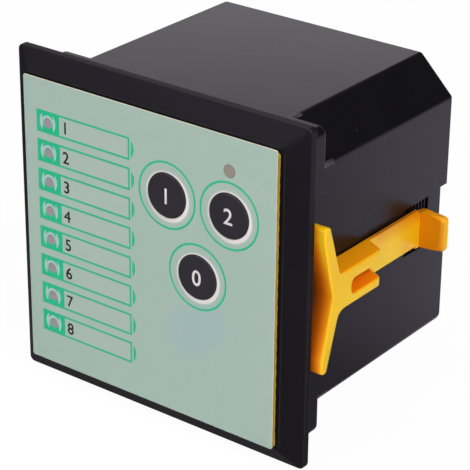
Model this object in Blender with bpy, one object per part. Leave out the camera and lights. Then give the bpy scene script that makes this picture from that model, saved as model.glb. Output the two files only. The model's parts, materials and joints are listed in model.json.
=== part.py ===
"""Generator controller for a square panel cutout, as an assembly of separate pieces.

The design frame has X to the right as seen from the front, Y into the panel and Z up, and its
origin is the middle of the panel plane, which is the back face of the front frame's rim. An empty
carries all pieces and lifts them so that the world origin lies on the floor, below the middle of
the controller's bounding box.
"""
import math

import bmesh
import bpy
from mathutils import Vector

MM = 0.001

# Clearances
FIT_GAP = 0.3 * MM
HOLE_CLEARANCE = 0.35 * MM

# Front frame
BEZEL_SIDE = 96.0 * MM
BEZEL_CORNER_RADIUS = 1.5 * MM
RIM_THICKNESS = 2.2 * MM
BORDER_WIDTH = 5.5 * MM
PLATEAU_CORNER_RADIUS = 1.2 * MM
PLATEAU_LEAD = 5.9 * MM
FRONT_PLATE = 2.0 * MM
SEAT_STEP = 0.3 * MM
LIP_LENGTH = 5.0 * MM
LIP_WALL = 1.6 * MM
NIB_WIDTH = 8.0 * MM
NIB_HEIGHT = 1.2 * MM
NIB_LENGTH = 1.5 * MM
NIB_SETBACK = 2.5 * MM
NIB_SPREAD = 25.0 * MM

# Overlay film with its adhesive sheet
FILM_SIDE_MARGIN = 0.9 * MM
FILM_END_MARGIN = 0.5 * MM
FILM_RISE = 0.5 * MM
FILM_CORNER_RADIUS = 1.0 * MM
FILM_THICKNESS = 0.35 * MM
ADHESIVE_THICKNESS = 0.8 * MM
DOME_DIAMETER = 12.8 * MM
DOME_RISE = 0.5 * MM
DOME_RIM_WIDTH = 1.0 * MM

# Keys, as each centre's distance from the film's right and top edges
KEY_INSETS = {"manual": (34.5 * MM, 21.5 * MM), "auto": (14.5 * MM, 21.5 * MM), "off": (24.5 * MM, 41.7 * MM)}
KEY_CAP_DIAMETER = 7.2 * MM
KEY_CAP_THICKNESS = 1.4 * MM
KEY_STEM_DIAMETER = 3.4 * MM
KEY_TRAVEL = 0.5 * MM
SWITCH_SIDE = 6.0 * MM
SWITCH_FLOOR = 0.6 * MM

# Lamps
LAMP_COLUMN_INSET = 8.25 * MM
LAMP_TOP_INSET = 11.9 * MM
LAMP_FOOT_INSET = 12.0 * MM
LAMP_PITCH = 8.5 * MM
MODE_LAMP_INSET = 9.3 * MM
LAMP_DIAMETER = 3.0 * MM
LAMP_FLANGE_DIAMETER = 3.8 * MM
LAMP_FLANGE_THICKNESS = 1.0 * MM
LAMP_TIP_RECESS = 0.7 * MM
LAMP_TIP_TURNS = (30, 60, 80)

# Rear case
RIM_OVERHANG = 4.3 * MM
CASE_WALL = 2.0 * MM
CASE_CHAMFER = 10.3 * MM
CASE_DEPTH = 69.4 * MM
CASE_EDGE_RADIUS = 0.8 * MM
COLLAR_DEPTH = 10.0 * MM
COLLAR_CORNER_RADIUS = 2.5 * MM

# Ratchet window in each side wall, with ribs across its floor
WINDOW_REAR_INSET = 9.7 * MM
WINDOW_HEIGHT = 14.2 * MM
WINDOW_SHALLOW = 0.4 * MM
WINDOW_SPARE = 0.5 * MM
SLOT_DEPTH = 2.4 * MM
RIB_COUNT = 7
RIB_THICKNESS = 0.45 * MM

# Rear notch in each side wall
NOTCH_LENGTH = 3.4 * MM
NOTCH_HEIGHT = 15.4 * MM
NOTCH_DEPTH = 5.0 * MM
POCKET_WALL = 2.0 * MM

# Mounting clip
CLIP_CENTRE_Z = 0.3 * MM
CLIP_THICKNESS = 6.8 * MM
CLIP_TRAVEL = 8.0 * MM
BAR_FRONT = 0.8 * MM
BAR_LENGTH = 41.4 * MM
BAR_PAD_LENGTH = 3.8 * MM
BAR_BEND = 4.2 * MM
BAR_TIP_DEPTH = 2.1 * MM
BAR_ROOT_REAR = 7.9 * MM
BAR_END_RADIUS = 1.0 * MM
BAR_UPPER_FILLET = 1.2 * MM
BAR_LOWER_FILLET = 3.0 * MM
ARM_HEIGHT = 11.4 * MM
ARM_THICKNESS = 1.3 * MM
ARM_FOOT_INSET = 0.9 * MM
FORK_GAP = 4.3 * MM
FORK_GAP_FRONT = 13.3 * MM
FORK_GAP_RADIUS = 1.4 * MM
FORK_ROOT_END = 29.6 * MM
FORK_TIP_END = 26.6 * MM
FORK_TIP_RADIUS = 2.0 * MM
TAB_SETBACK = 5.1 * MM
TAB_THICKNESS = 3.4 * MM
TAB_REACH = 8.9 * MM
TAB_TOP_INSET = 1.0 * MM
TAB_FOOT_INSET = 0.2 * MM
TAB_EDGE_RADIUS = 1.6 * MM
PAWL_SETBACK = 2.0 * MM
PAWL_LENGTH = 0.8 * MM
PAWL_WIDTH = 8.0 * MM
FOOT_LENGTH = 8.4 * MM
FOOT_NECK_HEIGHT = 4.4 * MM
FOOT_HEAD_HEIGHT = 8.4 * MM
FOOT_HEAD_THICKNESS = 1.4 * MM
GUIDE_REAR_SPACE = 0.4 * MM
GUIDE_SPARE = 1.0 * MM

# Rear cover and its screws
COVER_THICKNESS = 2.1 * MM
COVER_SCREW_INSET_X = 6.2 * MM
COVER_SCREW_INSET_Z = 7.2 * MM
BOSS_DIAMETER = 7.0 * MM
BOSS_LENGTH = 14.0 * MM
SCREW_DIAMETER = 2.9 * MM
SCREW_LENGTH = 10.0 * MM
SCREW_HEAD_DIAMETER = 5.5 * MM
SCREW_CROWN_DIAMETER = 3.8 * MM
SCREW_HEAD_THICKNESS = 2.0 * MM
SCREW_SLOT_WIDTH = 0.8 * MM
SCREW_SLOT_DEPTH = 0.9 * MM

# Circuit boards
BOARD_THICKNESS = 1.6 * MM
BOARD_REAR_INSET = 3.0 * MM
RELAY_BOARD_HEADROOM = 2.67 * MM
LOGIC_BOARD_HEADROOM = 5.4 * MM
DISPLAY_STANDOFF = 3.2 * MM
DISPLAY_BOARD_MARGIN = 0.5 * MM
STAKE_INSET = 3.3 * MM
STAKE_POST_DIAMETER = 4.5 * MM
STAKE_PIN_DIAMETER = 2.2 * MM
STAKE_PIN_REACH = 1.0 * MM
RAIL_WIDTH = 2.2 * MM
RAIL_HEIGHT = 1.5 * MM
RAIL_FRONT = 14.0 * MM
RAIL_REAR_INSET = 2.0 * MM

# Terminals
TERMINAL_POLES = 7
TERMINAL_PITCH = 5.08 * MM
TERMINAL_HEIGHT = 11.0 * MM
TERMINAL_END_WALL = 0.6 * MM
HEADER_THICKNESS = 4.0 * MM
HEADER_REAR_INSET = 7.0 * MM
HEADER_PIN_SIDE = 1.0 * MM
HEADER_PIN_LENGTH = 6.0 * MM
PLUG_LENGTH = 17.2 * MM
WIRE_HOLE_WIDTH = 3.0 * MM
WIRE_HOLE_HEIGHT = 3.4 * MM
WIRE_HOLE_DEPTH = 6.0 * MM
WIRE_HOLE_DROP = 1.6 * MM
CLAMP_SCREW_DIAMETER = 3.2 * MM
CLAMP_SCREW_LENGTH = 3.2 * MM
CLAMP_SCREW_SINK = 0.7 * MM
CLAMP_SCREW_SETBACK = 4.0 * MM
COVER_OPENING_CLEARANCE = 0.5 * MM

# Parts on the boards
LINK_PIN_COUNT = 6
LINK_PITCH = 2.54 * MM
LINK_CENTRE_X = -14.0 * MM
LINK_PIN_SIDE = 0.7 * MM
LINK_PIN_HEIGHT = 1.5 * MM
LINK_BODY_DEPTH = 2.5 * MM
LINK_BODY_HEIGHT = 2.5 * MM
LINK_PIN_PROUD = 0.3 * MM
RELAY_SIZE = (15.2 * MM, 19.0 * MM, 15.0 * MM)
RELAY_SPACE = 3.4 * MM
RELAY_ROW_INSET = 5.0 * MM
RELAY_FRONT = 24.0 * MM
CAPACITOR_DIAMETER = 10.0 * MM
CAPACITOR_HEADROOM = 7.7 * MM
CAPACITOR_SPACE = 2.0 * MM
CAPACITOR_COUNT = 3
CAPACITOR_INSET = 9.1 * MM
CAPACITOR_Y = 20.0 * MM
CHIP_SIZE = (12.0 * MM, 12.0 * MM, 1.6 * MM)
CHIP_FRONT = 32.0 * MM
CRYSTAL_SIZE = (11.0 * MM, 4.6 * MM, 3.6 * MM)
CRYSTAL_CENTRE_X = 16.0 * MM
REGULATOR_SIZE = (10.0 * MM, 4.5 * MM, 15.0 * MM)
REGULATOR_INSET = 14.1 * MM
REGULATOR_SETBACK = 5.0 * MM

ROUND_SEGMENTS = 24
SMALL_SEGMENTS = 12
ARC_STEP = math.radians(22.5)
SHARP_ANGLE = math.radians(35)

# Planes and outlines that follow from the sizes above
PLATEAU_SIDE = BEZEL_SIDE - 2 * BORDER_WIDTH
FILM_WIDTH = PLATEAU_SIDE - 2 * FILM_SIDE_MARGIN
FILM_HEIGHT = PLATEAU_SIDE - 2 * FILM_END_MARGIN
FILM_RIGHT = FILM_WIDTH / 2
FILM_TOP = FILM_HEIGHT / 2 + FILM_RISE
KEYS = {name: (FILM_RIGHT - right, FILM_TOP - top) for name, (right, top) in KEY_INSETS.items()}
LAMP_COUNT = 1 + math.floor((FILM_HEIGHT - LAMP_TOP_INSET - LAMP_FOOT_INSET) / LAMP_PITCH)
ADHESIVE_BACK = -PLATEAU_LEAD - FIT_GAP
ADHESIVE_FRONT = ADHESIVE_BACK - ADHESIVE_THICKNESS
FILM_BACK = ADHESIVE_FRONT - FIT_GAP
FILM_FRONT = FILM_BACK - FILM_THICKNESS
DOME_FRONT = FILM_FRONT - DOME_RISE
PLATE_BACK = -PLATEAU_LEAD + FRONT_PLATE
CASE_SIDE = BEZEL_SIDE - 2 * RIM_OVERHANG
CASE_HALF = CASE_SIDE / 2
CASE_INNER = CASE_HALF - CASE_WALL
CASE_INNER_CHAMFER = CASE_CHAMFER - CASE_WALL * (2 - math.sqrt(2))
CASE_FRONT = FIT_GAP - SEAT_STEP
LIP_OUTER = CASE_INNER - 2 * FIT_GAP
LIP_INNER = LIP_OUTER - LIP_WALL
STAKE_SPREAD = LIP_INNER - STAKE_INSET
DISPLAY_FRONT = PLATE_BACK + DISPLAY_STANDOFF
DISPLAY_BACK = DISPLAY_FRONT + BOARD_THICKNESS
SWITCH_BACK = DISPLAY_FRONT - FIT_GAP
SWITCH_FRONT = PLATE_BACK + FIT_GAP
KEY_CAP_FRONT = FILM_BACK - DOME_RISE + FIT_GAP
COVER_BACK = CASE_DEPTH - FIT_GAP
COVER_FRONT = COVER_BACK - COVER_THICKNESS
COVER_SCREW_X = CASE_INNER - COVER_SCREW_INSET_X
COVER_SCREW_Z = CASE_INNER - COVER_SCREW_INSET_Z
BOSS_END = COVER_FRONT - FIT_GAP
BOARD_FRONT = LIP_LENGTH + 2 * FIT_GAP
BOARD_REAR = COVER_FRONT - BOARD_REAR_INSET
BOARD_HALF = CASE_INNER - 2 * FIT_GAP
HEADER_BACK = COVER_FRONT - HEADER_REAR_INSET
HEADER_FRONT = HEADER_BACK - HEADER_THICKNESS
PLUG_FRONT = HEADER_BACK + FIT_GAP
PLUG_BACK = PLUG_FRONT + PLUG_LENGTH
TERMINAL_WIDTH = TERMINAL_POLES * TERMINAL_PITCH + 2 * TERMINAL_END_WALL
BOARD_TOPS = {"relay": CASE_INNER_CHAMFER - CASE_INNER + RELAY_BOARD_HEADROOM + BOARD_THICKNESS,
              "logic": NOTCH_HEIGHT / 2 + POCKET_WALL + LOGIC_BOARD_HEADROOM + BOARD_THICKNESS}
TERMINAL_ROWS = {"lower": BOARD_TOPS["relay"] + FIT_GAP + TERMINAL_HEIGHT / 2,
                 "upper": BOARD_TOPS["logic"] + FIT_GAP + TERMINAL_HEIGHT / 2}
RELAY_COUNT = math.floor((2 * (BOARD_HALF - RELAY_ROW_INSET) + RELAY_SPACE) / (RELAY_SIZE[0] + RELAY_SPACE))
CLIP_INNER = CASE_HALF + FIT_GAP
CLIP_OUTER = CLIP_INNER + CLIP_THICKNESS
WINDOW_LENGTH = PAWL_SETBACK + PAWL_LENGTH + CLIP_TRAVEL + WINDOW_SPARE
KEYHOLE_LENGTH = FOOT_LENGTH + 2 * FIT_GAP
GUIDE_LENGTH = FOOT_LENGTH + CLIP_TRAVEL + GUIDE_SPARE + KEYHOLE_LENGTH
WINDOW_FRONT = CASE_DEPTH - WINDOW_REAR_INSET - WINDOW_LENGTH
GUIDE_FRONT = WINDOW_FRONT - POCKET_WALL - GUIDE_REAR_SPACE - GUIDE_LENGTH
TAB_FRONT = WINDOW_FRONT + TAB_SETBACK


def lamp_places():
    """Return the name, X and Z of every lamp."""
    column_x = LAMP_COLUMN_INSET - FILM_RIGHT
    places = [(f"status_led_{index + 1}", column_x, FILM_TOP - LAMP_TOP_INSET - index * LAMP_PITCH)
              for index in range(LAMP_COUNT)]
    return places + [("mode_led", KEYS["auto"][0], FILM_TOP - MODE_LAMP_INSET)]


def row_places(count, pitch, centre=0.0):
    """Return the places of a row of evenly spaced things about a centre."""
    return [centre + (index - (count - 1) / 2) * pitch for index in range(count)]


def corner_places(x, z):
    """Return the four points that mirror (x, z) in both axes."""
    return [(x * sx, z * sz) for sx in (-1, 1) for sz in (-1, 1)]


def rounded(corners):
    """Return an outline through corners of (u, v, radius), each rounded by an arc."""
    outline = []
    for index, (u, v, radius) in enumerate(corners):
        here = Vector((u, v))
        if radius <= 0:
            outline.append(here)
            continue
        before = (Vector(corners[index - 1][:2]) - here).normalized()
        after = (Vector(corners[(index + 1) % len(corners)][:2]) - here).normalized()
        half = before.angle(after) / 2
        centre = here + (before + after).normalized() * radius / math.sin(half)
        start = here + before * radius / math.tan(half)
        end = here + after * radius / math.tan(half)
        first = math.atan2(start.y - centre.y, start.x - centre.x)
        last = math.atan2(end.y - centre.y, end.x - centre.x)
        turn = (last - first + math.pi) % (2 * math.pi) - math.pi
        steps = max(2, round(abs(turn) / ARC_STEP))
        outline.append(start)
        for step in range(1, steps):
            angle = first + turn * step / steps
            outline.append(centre + radius * Vector((math.cos(angle), math.sin(angle))))
        outline.append(end)
    return outline


def rectangle(width, height, radius=0.0, centre=(0.0, 0.0)):
    """Return a rectangle's outline about a centre."""
    u, v = centre
    corners = [(-1, -1), (1, -1), (1, 1), (-1, 1)]
    return rounded([(u + su * width / 2, v + sv * height / 2, radius) for su, sv in corners])


def octagon(half, chamfer, radius):
    """Return the outline of a square of the given half side with its corners cut off."""
    short = half - chamfer
    corners = [(half, -short), (half, short), (short, half), (-short, half),
               (-half, short), (-half, -short), (-short, -half), (short, -half)]
    return rounded([(u, v, radius) for u, v in corners])


def circle(diameter, centre=(0.0, 0.0), segments=SMALL_SEGMENTS):
    """Return a circle's outline as a polygon."""
    turns = [2 * math.pi * index / segments for index in range(segments)]
    return [Vector(centre) + diameter / 2 * Vector((math.cos(turn), math.sin(turn))) for turn in turns]


def place(axis, u, v, along):
    """Return the point whose outline coordinates are u and v, at a distance along an axis."""
    if axis == "X":
        return Vector((along, u, v))
    if axis == "Y":
        return Vector((u, along, v))
    return Vector((u, v, along))


def add_prism(shape, outline, axis, start, end):
    """Add an outline's extrusion between two planes to a bmesh."""
    base = shape.faces.new([shape.verts.new(place(axis, u, v, start)) for u, v in outline])
    grown = bmesh.ops.extrude_face_region(shape, geom=[base])
    moved = [item for item in grown["geom"] if isinstance(item, bmesh.types.BMVert)]
    bmesh.ops.translate(shape, vec=place(axis, 0.0, 0.0, end - start), verts=moved)
    return shape


def add_box(shape, low, high):
    """Add a box between two corners to a bmesh."""
    middle = ((low[0] + high[0]) / 2, (low[1] + high[1]) / 2)
    outline = rectangle(high[0] - low[0], high[1] - low[1], centre=middle)
    return add_prism(shape, outline, "Z", low[2], high[2])


def add_side_box(shape, side, inner, outer, front, rear, height, centre_z=0.0):
    """Add a box on the left or right side, given its distances from the middle."""
    low_x, high_x = sorted((side * inner, side * outer))
    return add_box(shape, (low_x, front, centre_z - height / 2), (high_x, rear, centre_z + height / 2))


def add_loft(shape, rings, axis):
    """Add a closed shape that passes through rings of (outline, place along the axis)."""
    loops = [[shape.verts.new(place(axis, u, v, along)) for u, v in outline] for outline, along in rings]
    for near, far in zip(loops, loops[1:]):
        for index, corner in enumerate(near):
            after = (index + 1) % len(near)
            shape.faces.new((corner, near[after], far[after], far[index]))
    shape.faces.new(loops[0])
    shape.faces.new(loops[-1])
    return shape


def finish(name, shape, material=None, parent=None, location=(0.0, 0.0, 0.0)):
    """Turn a bmesh into a named object, with its faces pointing outwards."""
    bmesh.ops.recalc_face_normals(shape, faces=shape.faces)
    mesh = bpy.data.meshes.new(name)
    shape.to_mesh(mesh)
    shape.free()
    piece = bpy.data.objects.new(name, mesh)
    bpy.context.scene.collection.objects.link(piece)
    piece.location = location
    piece.parent = parent
    if material:
        mesh.materials.append(material)
    return piece


def combine(piece, shape, operation, label):
    """Join a shape to a piece, cut it out of the piece or keep what both share."""
    cutter = finish(f"{piece.name}_{label}_guide", shape, parent=piece)
    cutter.hide_render = True
    cutter.display_type = "WIRE"
    step = piece.modifiers.new(label, "BOOLEAN")
    step.operation = operation
    step.object = cutter
    step.solver = "EXACT"


def smooth_round(piece):
    """Shade a piece's round faces smooth."""
    piece.data.shade_smooth()
    piece.data.set_sharp_from_angle(angle=SHARP_ANGLE)


def principled(name, colour, roughness, metallic=0.0):
    """Return a Principled material."""
    material = bpy.data.materials.new(name)
    material.use_nodes = True
    shader = material.node_tree.nodes["Principled BSDF"]
    shader.inputs["Base Color"].default_value = (*colour, 1.0)
    shader.inputs["Roughness"].default_value = roughness
    shader.inputs["Metallic"].default_value = metallic
    return material


def build_bezel(frame):
    """Front frame: rim, sloping border, front plate with its holes, rear lip, posts and snap nibs.

    A shallow step in the rim's back takes the case's front edge, so that the ring around it is the
    seat that lies on the panel.
    """
    seat_side = 2 * (CASE_HALF + FIT_GAP)
    seat = rectangle(seat_side, seat_side, BEZEL_CORNER_RADIUS)
    rim = rectangle(BEZEL_SIDE, BEZEL_SIDE, BEZEL_CORNER_RADIUS)
    plateau = rectangle(PLATEAU_SIDE, PLATEAU_SIDE, PLATEAU_CORNER_RADIUS)
    shape = add_loft(bmesh.new(), [(seat, -SEAT_STEP), (seat, 0.0), (rim, 0.0), (rim, -RIM_THICKNESS),
                                   (plateau, -PLATEAU_LEAD)], "Y")
    bezel = finish("bezel", shape, principled("bezel_plastic", (0.012, 0.012, 0.013), 0.5), frame)
    lip = add_prism(bmesh.new(), rectangle(2 * LIP_OUTER, 2 * LIP_OUTER), "Y", -RIM_THICKNESS, LIP_LENGTH)
    combine(bezel, lip, "UNION", "lip")
    inside = rectangle(2 * LIP_INNER, 2 * LIP_INNER)
    cavity = add_prism(bmesh.new(), inside, "Y", PLATE_BACK, LIP_LENGTH + FIT_GAP)
    combine(bezel, cavity, "DIFFERENCE", "cavity")
    combine(bezel, bezel_fittings(), "UNION", "fittings")
    holes = bmesh.new()
    front, rear = -PLATEAU_LEAD - FIT_GAP, PLATE_BACK + FIT_GAP
    for _, x, z in lamp_places():
        add_prism(holes, circle(LAMP_DIAMETER + 2 * HOLE_CLEARANCE, (x, z)), "Y", front, rear)
    for centre in KEYS.values():
        hole = circle(KEY_CAP_DIAMETER + 2 * HOLE_CLEARANCE, centre, ROUND_SEGMENTS)
        add_prism(holes, hole, "Y", front, rear)
    combine(bezel, holes, "DIFFERENCE", "holes")


def bezel_fittings():
    """Return the four stepped posts for the display board and the four snap nibs on the lip."""
    fittings = bmesh.new()
    shoulder = DISPLAY_FRONT - FIT_GAP
    for centre in corner_places(STAKE_SPREAD, STAKE_SPREAD):
        post = circle(STAKE_POST_DIAMETER, centre)
        pin = circle(STAKE_PIN_DIAMETER, centre)
        add_loft(fittings, [(post, PLATE_BACK - FRONT_PLATE / 2), (post, shoulder), (pin, shoulder),
                            (pin, DISPLAY_BACK + STAKE_PIN_REACH)], "Y")
    for x, side in corner_places(NIB_SPREAD, 1):
        low_z, high_z = sorted((side * (LIP_OUTER - LIP_WALL / 2), side * (LIP_OUTER + NIB_HEIGHT)))
        add_box(fittings, (x - NIB_WIDTH / 2, NIB_SETBACK, low_z),
                (x + NIB_WIDTH / 2, NIB_SETBACK + NIB_LENGTH, high_z))
    return fittings


def film_outline():
    """Return the outline that the film and the adhesive sheet share."""
    return rectangle(FILM_WIDTH, FILM_HEIGHT, FILM_CORNER_RADIUS, (0.0, FILM_RISE))


def build_film(frame):
    """Overlay film: a thin sheet with an embossed dome over each key."""
    sheet = add_prism(bmesh.new(), film_outline(), "Y", FILM_FRONT, FILM_BACK)
    film = finish("overlay_film", sheet, principled("overlay_print", (0.45, 0.56, 0.5), 0.4), frame)
    domes = bmesh.new()
    hollows = bmesh.new()
    for centre in KEYS.values():
        ring = circle(DOME_DIAMETER, centre, ROUND_SEGMENTS)
        crown = circle(DOME_DIAMETER - DOME_RIM_WIDTH, centre, ROUND_SEGMENTS)
        hollow = circle(DOME_DIAMETER - 2 * DOME_RIM_WIDTH, centre, ROUND_SEGMENTS)
        root = FILM_BACK - FILM_THICKNESS / 2
        add_loft(domes, [(ring, root), (ring, FILM_FRONT), (crown, DOME_FRONT)], "Y")
        add_prism(hollows, hollow, "Y", DOME_FRONT + FILM_THICKNESS, FILM_BACK + FIT_GAP)
    combine(film, domes, "UNION", "domes")
    combine(film, hollows, "DIFFERENCE", "hollows")


def build_adhesive(frame):
    """Adhesive sheet between the film and the front plate, open at the keys and lamps."""
    sheet = add_prism(bmesh.new(), film_outline(), "Y", ADHESIVE_FRONT, ADHESIVE_BACK)
    olive = principled("adhesive_yellow", (0.42, 0.36, 0.04), 0.6)
    adhesive = finish("adhesive_sheet", sheet, olive, frame)
    holes = bmesh.new()
    front, rear = ADHESIVE_FRONT - FIT_GAP, ADHESIVE_BACK + FIT_GAP
    for _, x, z in lamp_places():
        add_prism(holes, circle(LAMP_DIAMETER + 4 * HOLE_CLEARANCE, (x, z)), "Y", front, rear)
    for centre in KEYS.values():
        hole = circle(DOME_DIAMETER + 2 * HOLE_CLEARANCE, centre, ROUND_SEGMENTS)
        add_prism(holes, hole, "Y", front, rear)
    combine(adhesive, holes, "DIFFERENCE", "holes")


def build_case(frame):
    """Rear case: square collar and chamfered tube, with pockets, rails, bosses and guide slots."""
    shape = add_prism(bmesh.new(), octagon(CASE_HALF, CASE_CHAMFER, CASE_EDGE_RADIUS), "Y",
                      CASE_FRONT + CASE_WALL, CASE_DEPTH)
    case = finish("rear_case", shape, principled("case_plastic", (0.016, 0.016, 0.018), 0.35), frame)
    collar = rectangle(CASE_SIDE, CASE_SIDE, COLLAR_CORNER_RADIUS)
    combine(case, add_prism(bmesh.new(), collar, "Y", CASE_FRONT, COLLAR_DEPTH), "UNION", "collar")
    front_room = add_prism(bmesh.new(), rectangle(2 * CASE_INNER, 2 * CASE_INNER), "Y",
                           CASE_FRONT - FIT_GAP, COLLAR_DEPTH - CASE_WALL)
    combine(case, front_room, "DIFFERENCE", "front_room")
    room = add_prism(bmesh.new(), octagon(CASE_INNER, CASE_INNER_CHAMFER, 0.0), "Y",
                     COLLAR_DEPTH - 2 * CASE_WALL, CASE_DEPTH + FIT_GAP)
    combine(case, room, "DIFFERENCE", "room")
    combine(case, case_fittings(), "UNION", "fittings")
    combine(case, case_recesses(), "DIFFERENCE", "recesses")


def case_fittings():
    """Return what stands inside the case: pocket housings, board rails and screw bosses."""
    fittings = bmesh.new()
    embed = CASE_INNER + CASE_WALL / 2
    pocket_inner = CASE_HALF - NOTCH_DEPTH - POCKET_WALL
    for side in (-1, 1):
        add_side_box(fittings, side, pocket_inner, embed, WINDOW_FRONT - POCKET_WALL, CASE_DEPTH,
                     NOTCH_HEIGHT + 2 * POCKET_WALL)
        for top in BOARD_TOPS.values():
            for way in (-1, 1):
                offset = way * (BOARD_THICKNESS / 2 + FIT_GAP + RAIL_HEIGHT / 2)
                add_side_box(fittings, side, CASE_INNER - RAIL_WIDTH, embed, RAIL_FRONT,
                             BOARD_REAR - RAIL_REAR_INSET, RAIL_HEIGHT, top - BOARD_THICKNESS / 2 + offset)
    for centre in corner_places(COVER_SCREW_X, COVER_SCREW_Z):
        add_prism(fittings, circle(BOSS_DIAMETER, centre), "Y", BOSS_END - BOSS_LENGTH, BOSS_END)
    return fittings


def case_recesses():
    """Return what is cut out of the case: side openings, screw holes and seats of the snap nibs."""
    recesses = bmesh.new()
    for side in (-1, 1):
        add_prism(recesses, ratchet_outline(side), "Z", -WINDOW_HEIGHT / 2, WINDOW_HEIGHT / 2)
        add_side_box(recesses, side, CASE_HALF - NOTCH_DEPTH, CASE_HALF + FIT_GAP,
                     CASE_DEPTH - NOTCH_LENGTH, CASE_DEPTH + FIT_GAP, NOTCH_HEIGHT)
        ends = sorted((side * (CASE_INNER - FIT_GAP), side * (CASE_HALF + FIT_GAP)))
        add_prism(recesses, guide_outline(), "X", *ends)
    for centre in corner_places(COVER_SCREW_X, COVER_SCREW_Z):
        add_prism(recesses, circle(SCREW_DIAMETER + 2 * HOLE_CLEARANCE, centre), "Y",
                  COVER_BACK - SCREW_LENGTH - FIT_GAP, BOSS_END + FIT_GAP)
    for x, side in corner_places(NIB_SPREAD, 1):
        low_z, high_z = sorted((side * (CASE_INNER - FIT_GAP), side * (LIP_OUTER + NIB_HEIGHT + FIT_GAP)))
        add_box(recesses, (x - NIB_WIDTH / 2 - FIT_GAP, NIB_SETBACK - FIT_GAP, low_z),
                (x + NIB_WIDTH / 2 + FIT_GAP, NIB_SETBACK + NIB_LENGTH + FIT_GAP, high_z))
    return recesses


def ratchet_outline(side):
    """Return the plan outline of one ratchet window: a shallow recess with deep slots between ribs."""
    surface = CASE_HALF + FIT_GAP
    crest = CASE_HALF - WINDOW_SHALLOW
    floor = crest - SLOT_DEPTH
    slot = (WINDOW_LENGTH - RIB_COUNT * RIB_THICKNESS) / (RIB_COUNT + 1)
    points = [(surface, WINDOW_FRONT), (floor, WINDOW_FRONT)]
    for index in range(RIB_COUNT):
        front = WINDOW_FRONT + (index + 1) * slot + index * RIB_THICKNESS
        rear = front + RIB_THICKNESS
        points += [(floor, front), (crest, front), (crest, rear), (floor, rear)]
    points += [(floor, WINDOW_FRONT + WINDOW_LENGTH), (surface, WINDOW_FRONT + WINDOW_LENGTH)]
    return [(side * x, y) for x, y in points]


def guide_outline():
    """Return the side outline (Y, Z) of the slot that guides a clip's foot, with its wide rear end."""
    rear = GUIDE_FRONT + GUIDE_LENGTH
    step = rear - KEYHOLE_LENGTH
    narrow = FOOT_NECK_HEIGHT / 2 + FIT_GAP
    wide = FOOT_HEAD_HEIGHT / 2 + FIT_GAP
    outline = [(GUIDE_FRONT, -narrow), (step, -narrow), (step, -wide), (rear, -wide),
               (rear, wide), (step, wide), (step, narrow), (GUIDE_FRONT, narrow)]
    return [(y, z + CLIP_CENTRE_Z) for y, z in outline]


def build_cover(frame):
    """Rear cover: chamfered plate with side notches, terminal openings and screw holes."""
    outline = octagon(CASE_INNER - FIT_GAP, CASE_INNER_CHAMFER, 0.0)
    shape = add_prism(bmesh.new(), outline, "Y", COVER_FRONT, COVER_BACK)
    cover = finish("rear_cover", shape, principled("cover_plastic", (0.015, 0.015, 0.016), 0.45), frame)
    openings = bmesh.new()
    notch_inner = CASE_HALF - NOTCH_DEPTH - POCKET_WALL - FIT_GAP
    notch_height = NOTCH_HEIGHT + 2 * (POCKET_WALL + FIT_GAP)
    front, rear = COVER_FRONT - FIT_GAP, COVER_BACK + FIT_GAP
    for side in (-1, 1):
        add_side_box(openings, side, notch_inner, CASE_HALF, front, rear, notch_height)
    for row_z in TERMINAL_ROWS.values():
        add_prism(openings, rectangle(TERMINAL_WIDTH + 2 * COVER_OPENING_CLEARANCE,
                                      TERMINAL_HEIGHT + 2 * COVER_OPENING_CLEARANCE, centre=(0.0, row_z)),
                  "Y", front, rear)
    for centre in corner_places(COVER_SCREW_X, COVER_SCREW_Z):
        add_prism(openings, circle(SCREW_DIAMETER + 2 * HOLE_CLEARANCE, centre), "Y", front, rear)
    combine(cover, openings, "DIFFERENCE", "openings")


def build_cover_screws(frame):
    """Four slotted pan-head screws that hold the rear cover."""
    steel = principled("screw_steel", (0.5, 0.5, 0.52), 0.3, 1.0)
    seat = COVER_BACK + FIT_GAP
    top = seat + SCREW_HEAD_THICKNESS
    shank = circle(SCREW_DIAMETER)
    head = circle(SCREW_HEAD_DIAMETER)
    crown = circle(SCREW_CROWN_DIAMETER)
    for index, (x, z) in enumerate(corner_places(COVER_SCREW_X, COVER_SCREW_Z)):
        shape = add_loft(bmesh.new(), [(shank, COVER_BACK - SCREW_LENGTH), (shank, seat), (head, seat),
                                       (head, seat + SCREW_HEAD_THICKNESS / 2), (crown, top)], "Y")
        screw = finish(f"cover_screw_{index + 1}", shape, steel, frame, (x, 0.0, z))
        slot = add_box(bmesh.new(), (-SCREW_HEAD_DIAMETER, top - SCREW_SLOT_DEPTH, -SCREW_SLOT_WIDTH / 2),
                       (SCREW_HEAD_DIAMETER, top + FIT_GAP, SCREW_SLOT_WIDTH / 2))
        combine(screw, slot, "DIFFERENCE", "slot")
        smooth_round(screw)


def build_display_board(frame, board_green):
    """Display board behind the front plate, with holes for the posts and the link pins."""
    side = 2 * (LIP_INNER - DISPLAY_BOARD_MARGIN)
    shape = add_prism(bmesh.new(), rectangle(side, side), "Y", DISPLAY_FRONT, DISPLAY_BACK)
    board = finish("display_board", shape, board_green, frame)
    holes = bmesh.new()
    front, rear = DISPLAY_FRONT - FIT_GAP, DISPLAY_BACK + FIT_GAP
    for centre in corner_places(STAKE_SPREAD, STAKE_SPREAD):
        add_prism(holes, circle(STAKE_PIN_DIAMETER + 2 * HOLE_CLEARANCE, centre), "Y", front, rear)
    pin_hole = LINK_PIN_SIDE + 2 * FIT_GAP
    for top in BOARD_TOPS.values():
        for x in row_places(LINK_PIN_COUNT, LINK_PITCH, LINK_CENTRE_X):
            hole = rectangle(pin_hole, pin_hole, centre=(x, top + LINK_PIN_HEIGHT))
            add_prism(holes, hole, "Y", front, rear)
    combine(board, holes, "DIFFERENCE", "holes")


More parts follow.
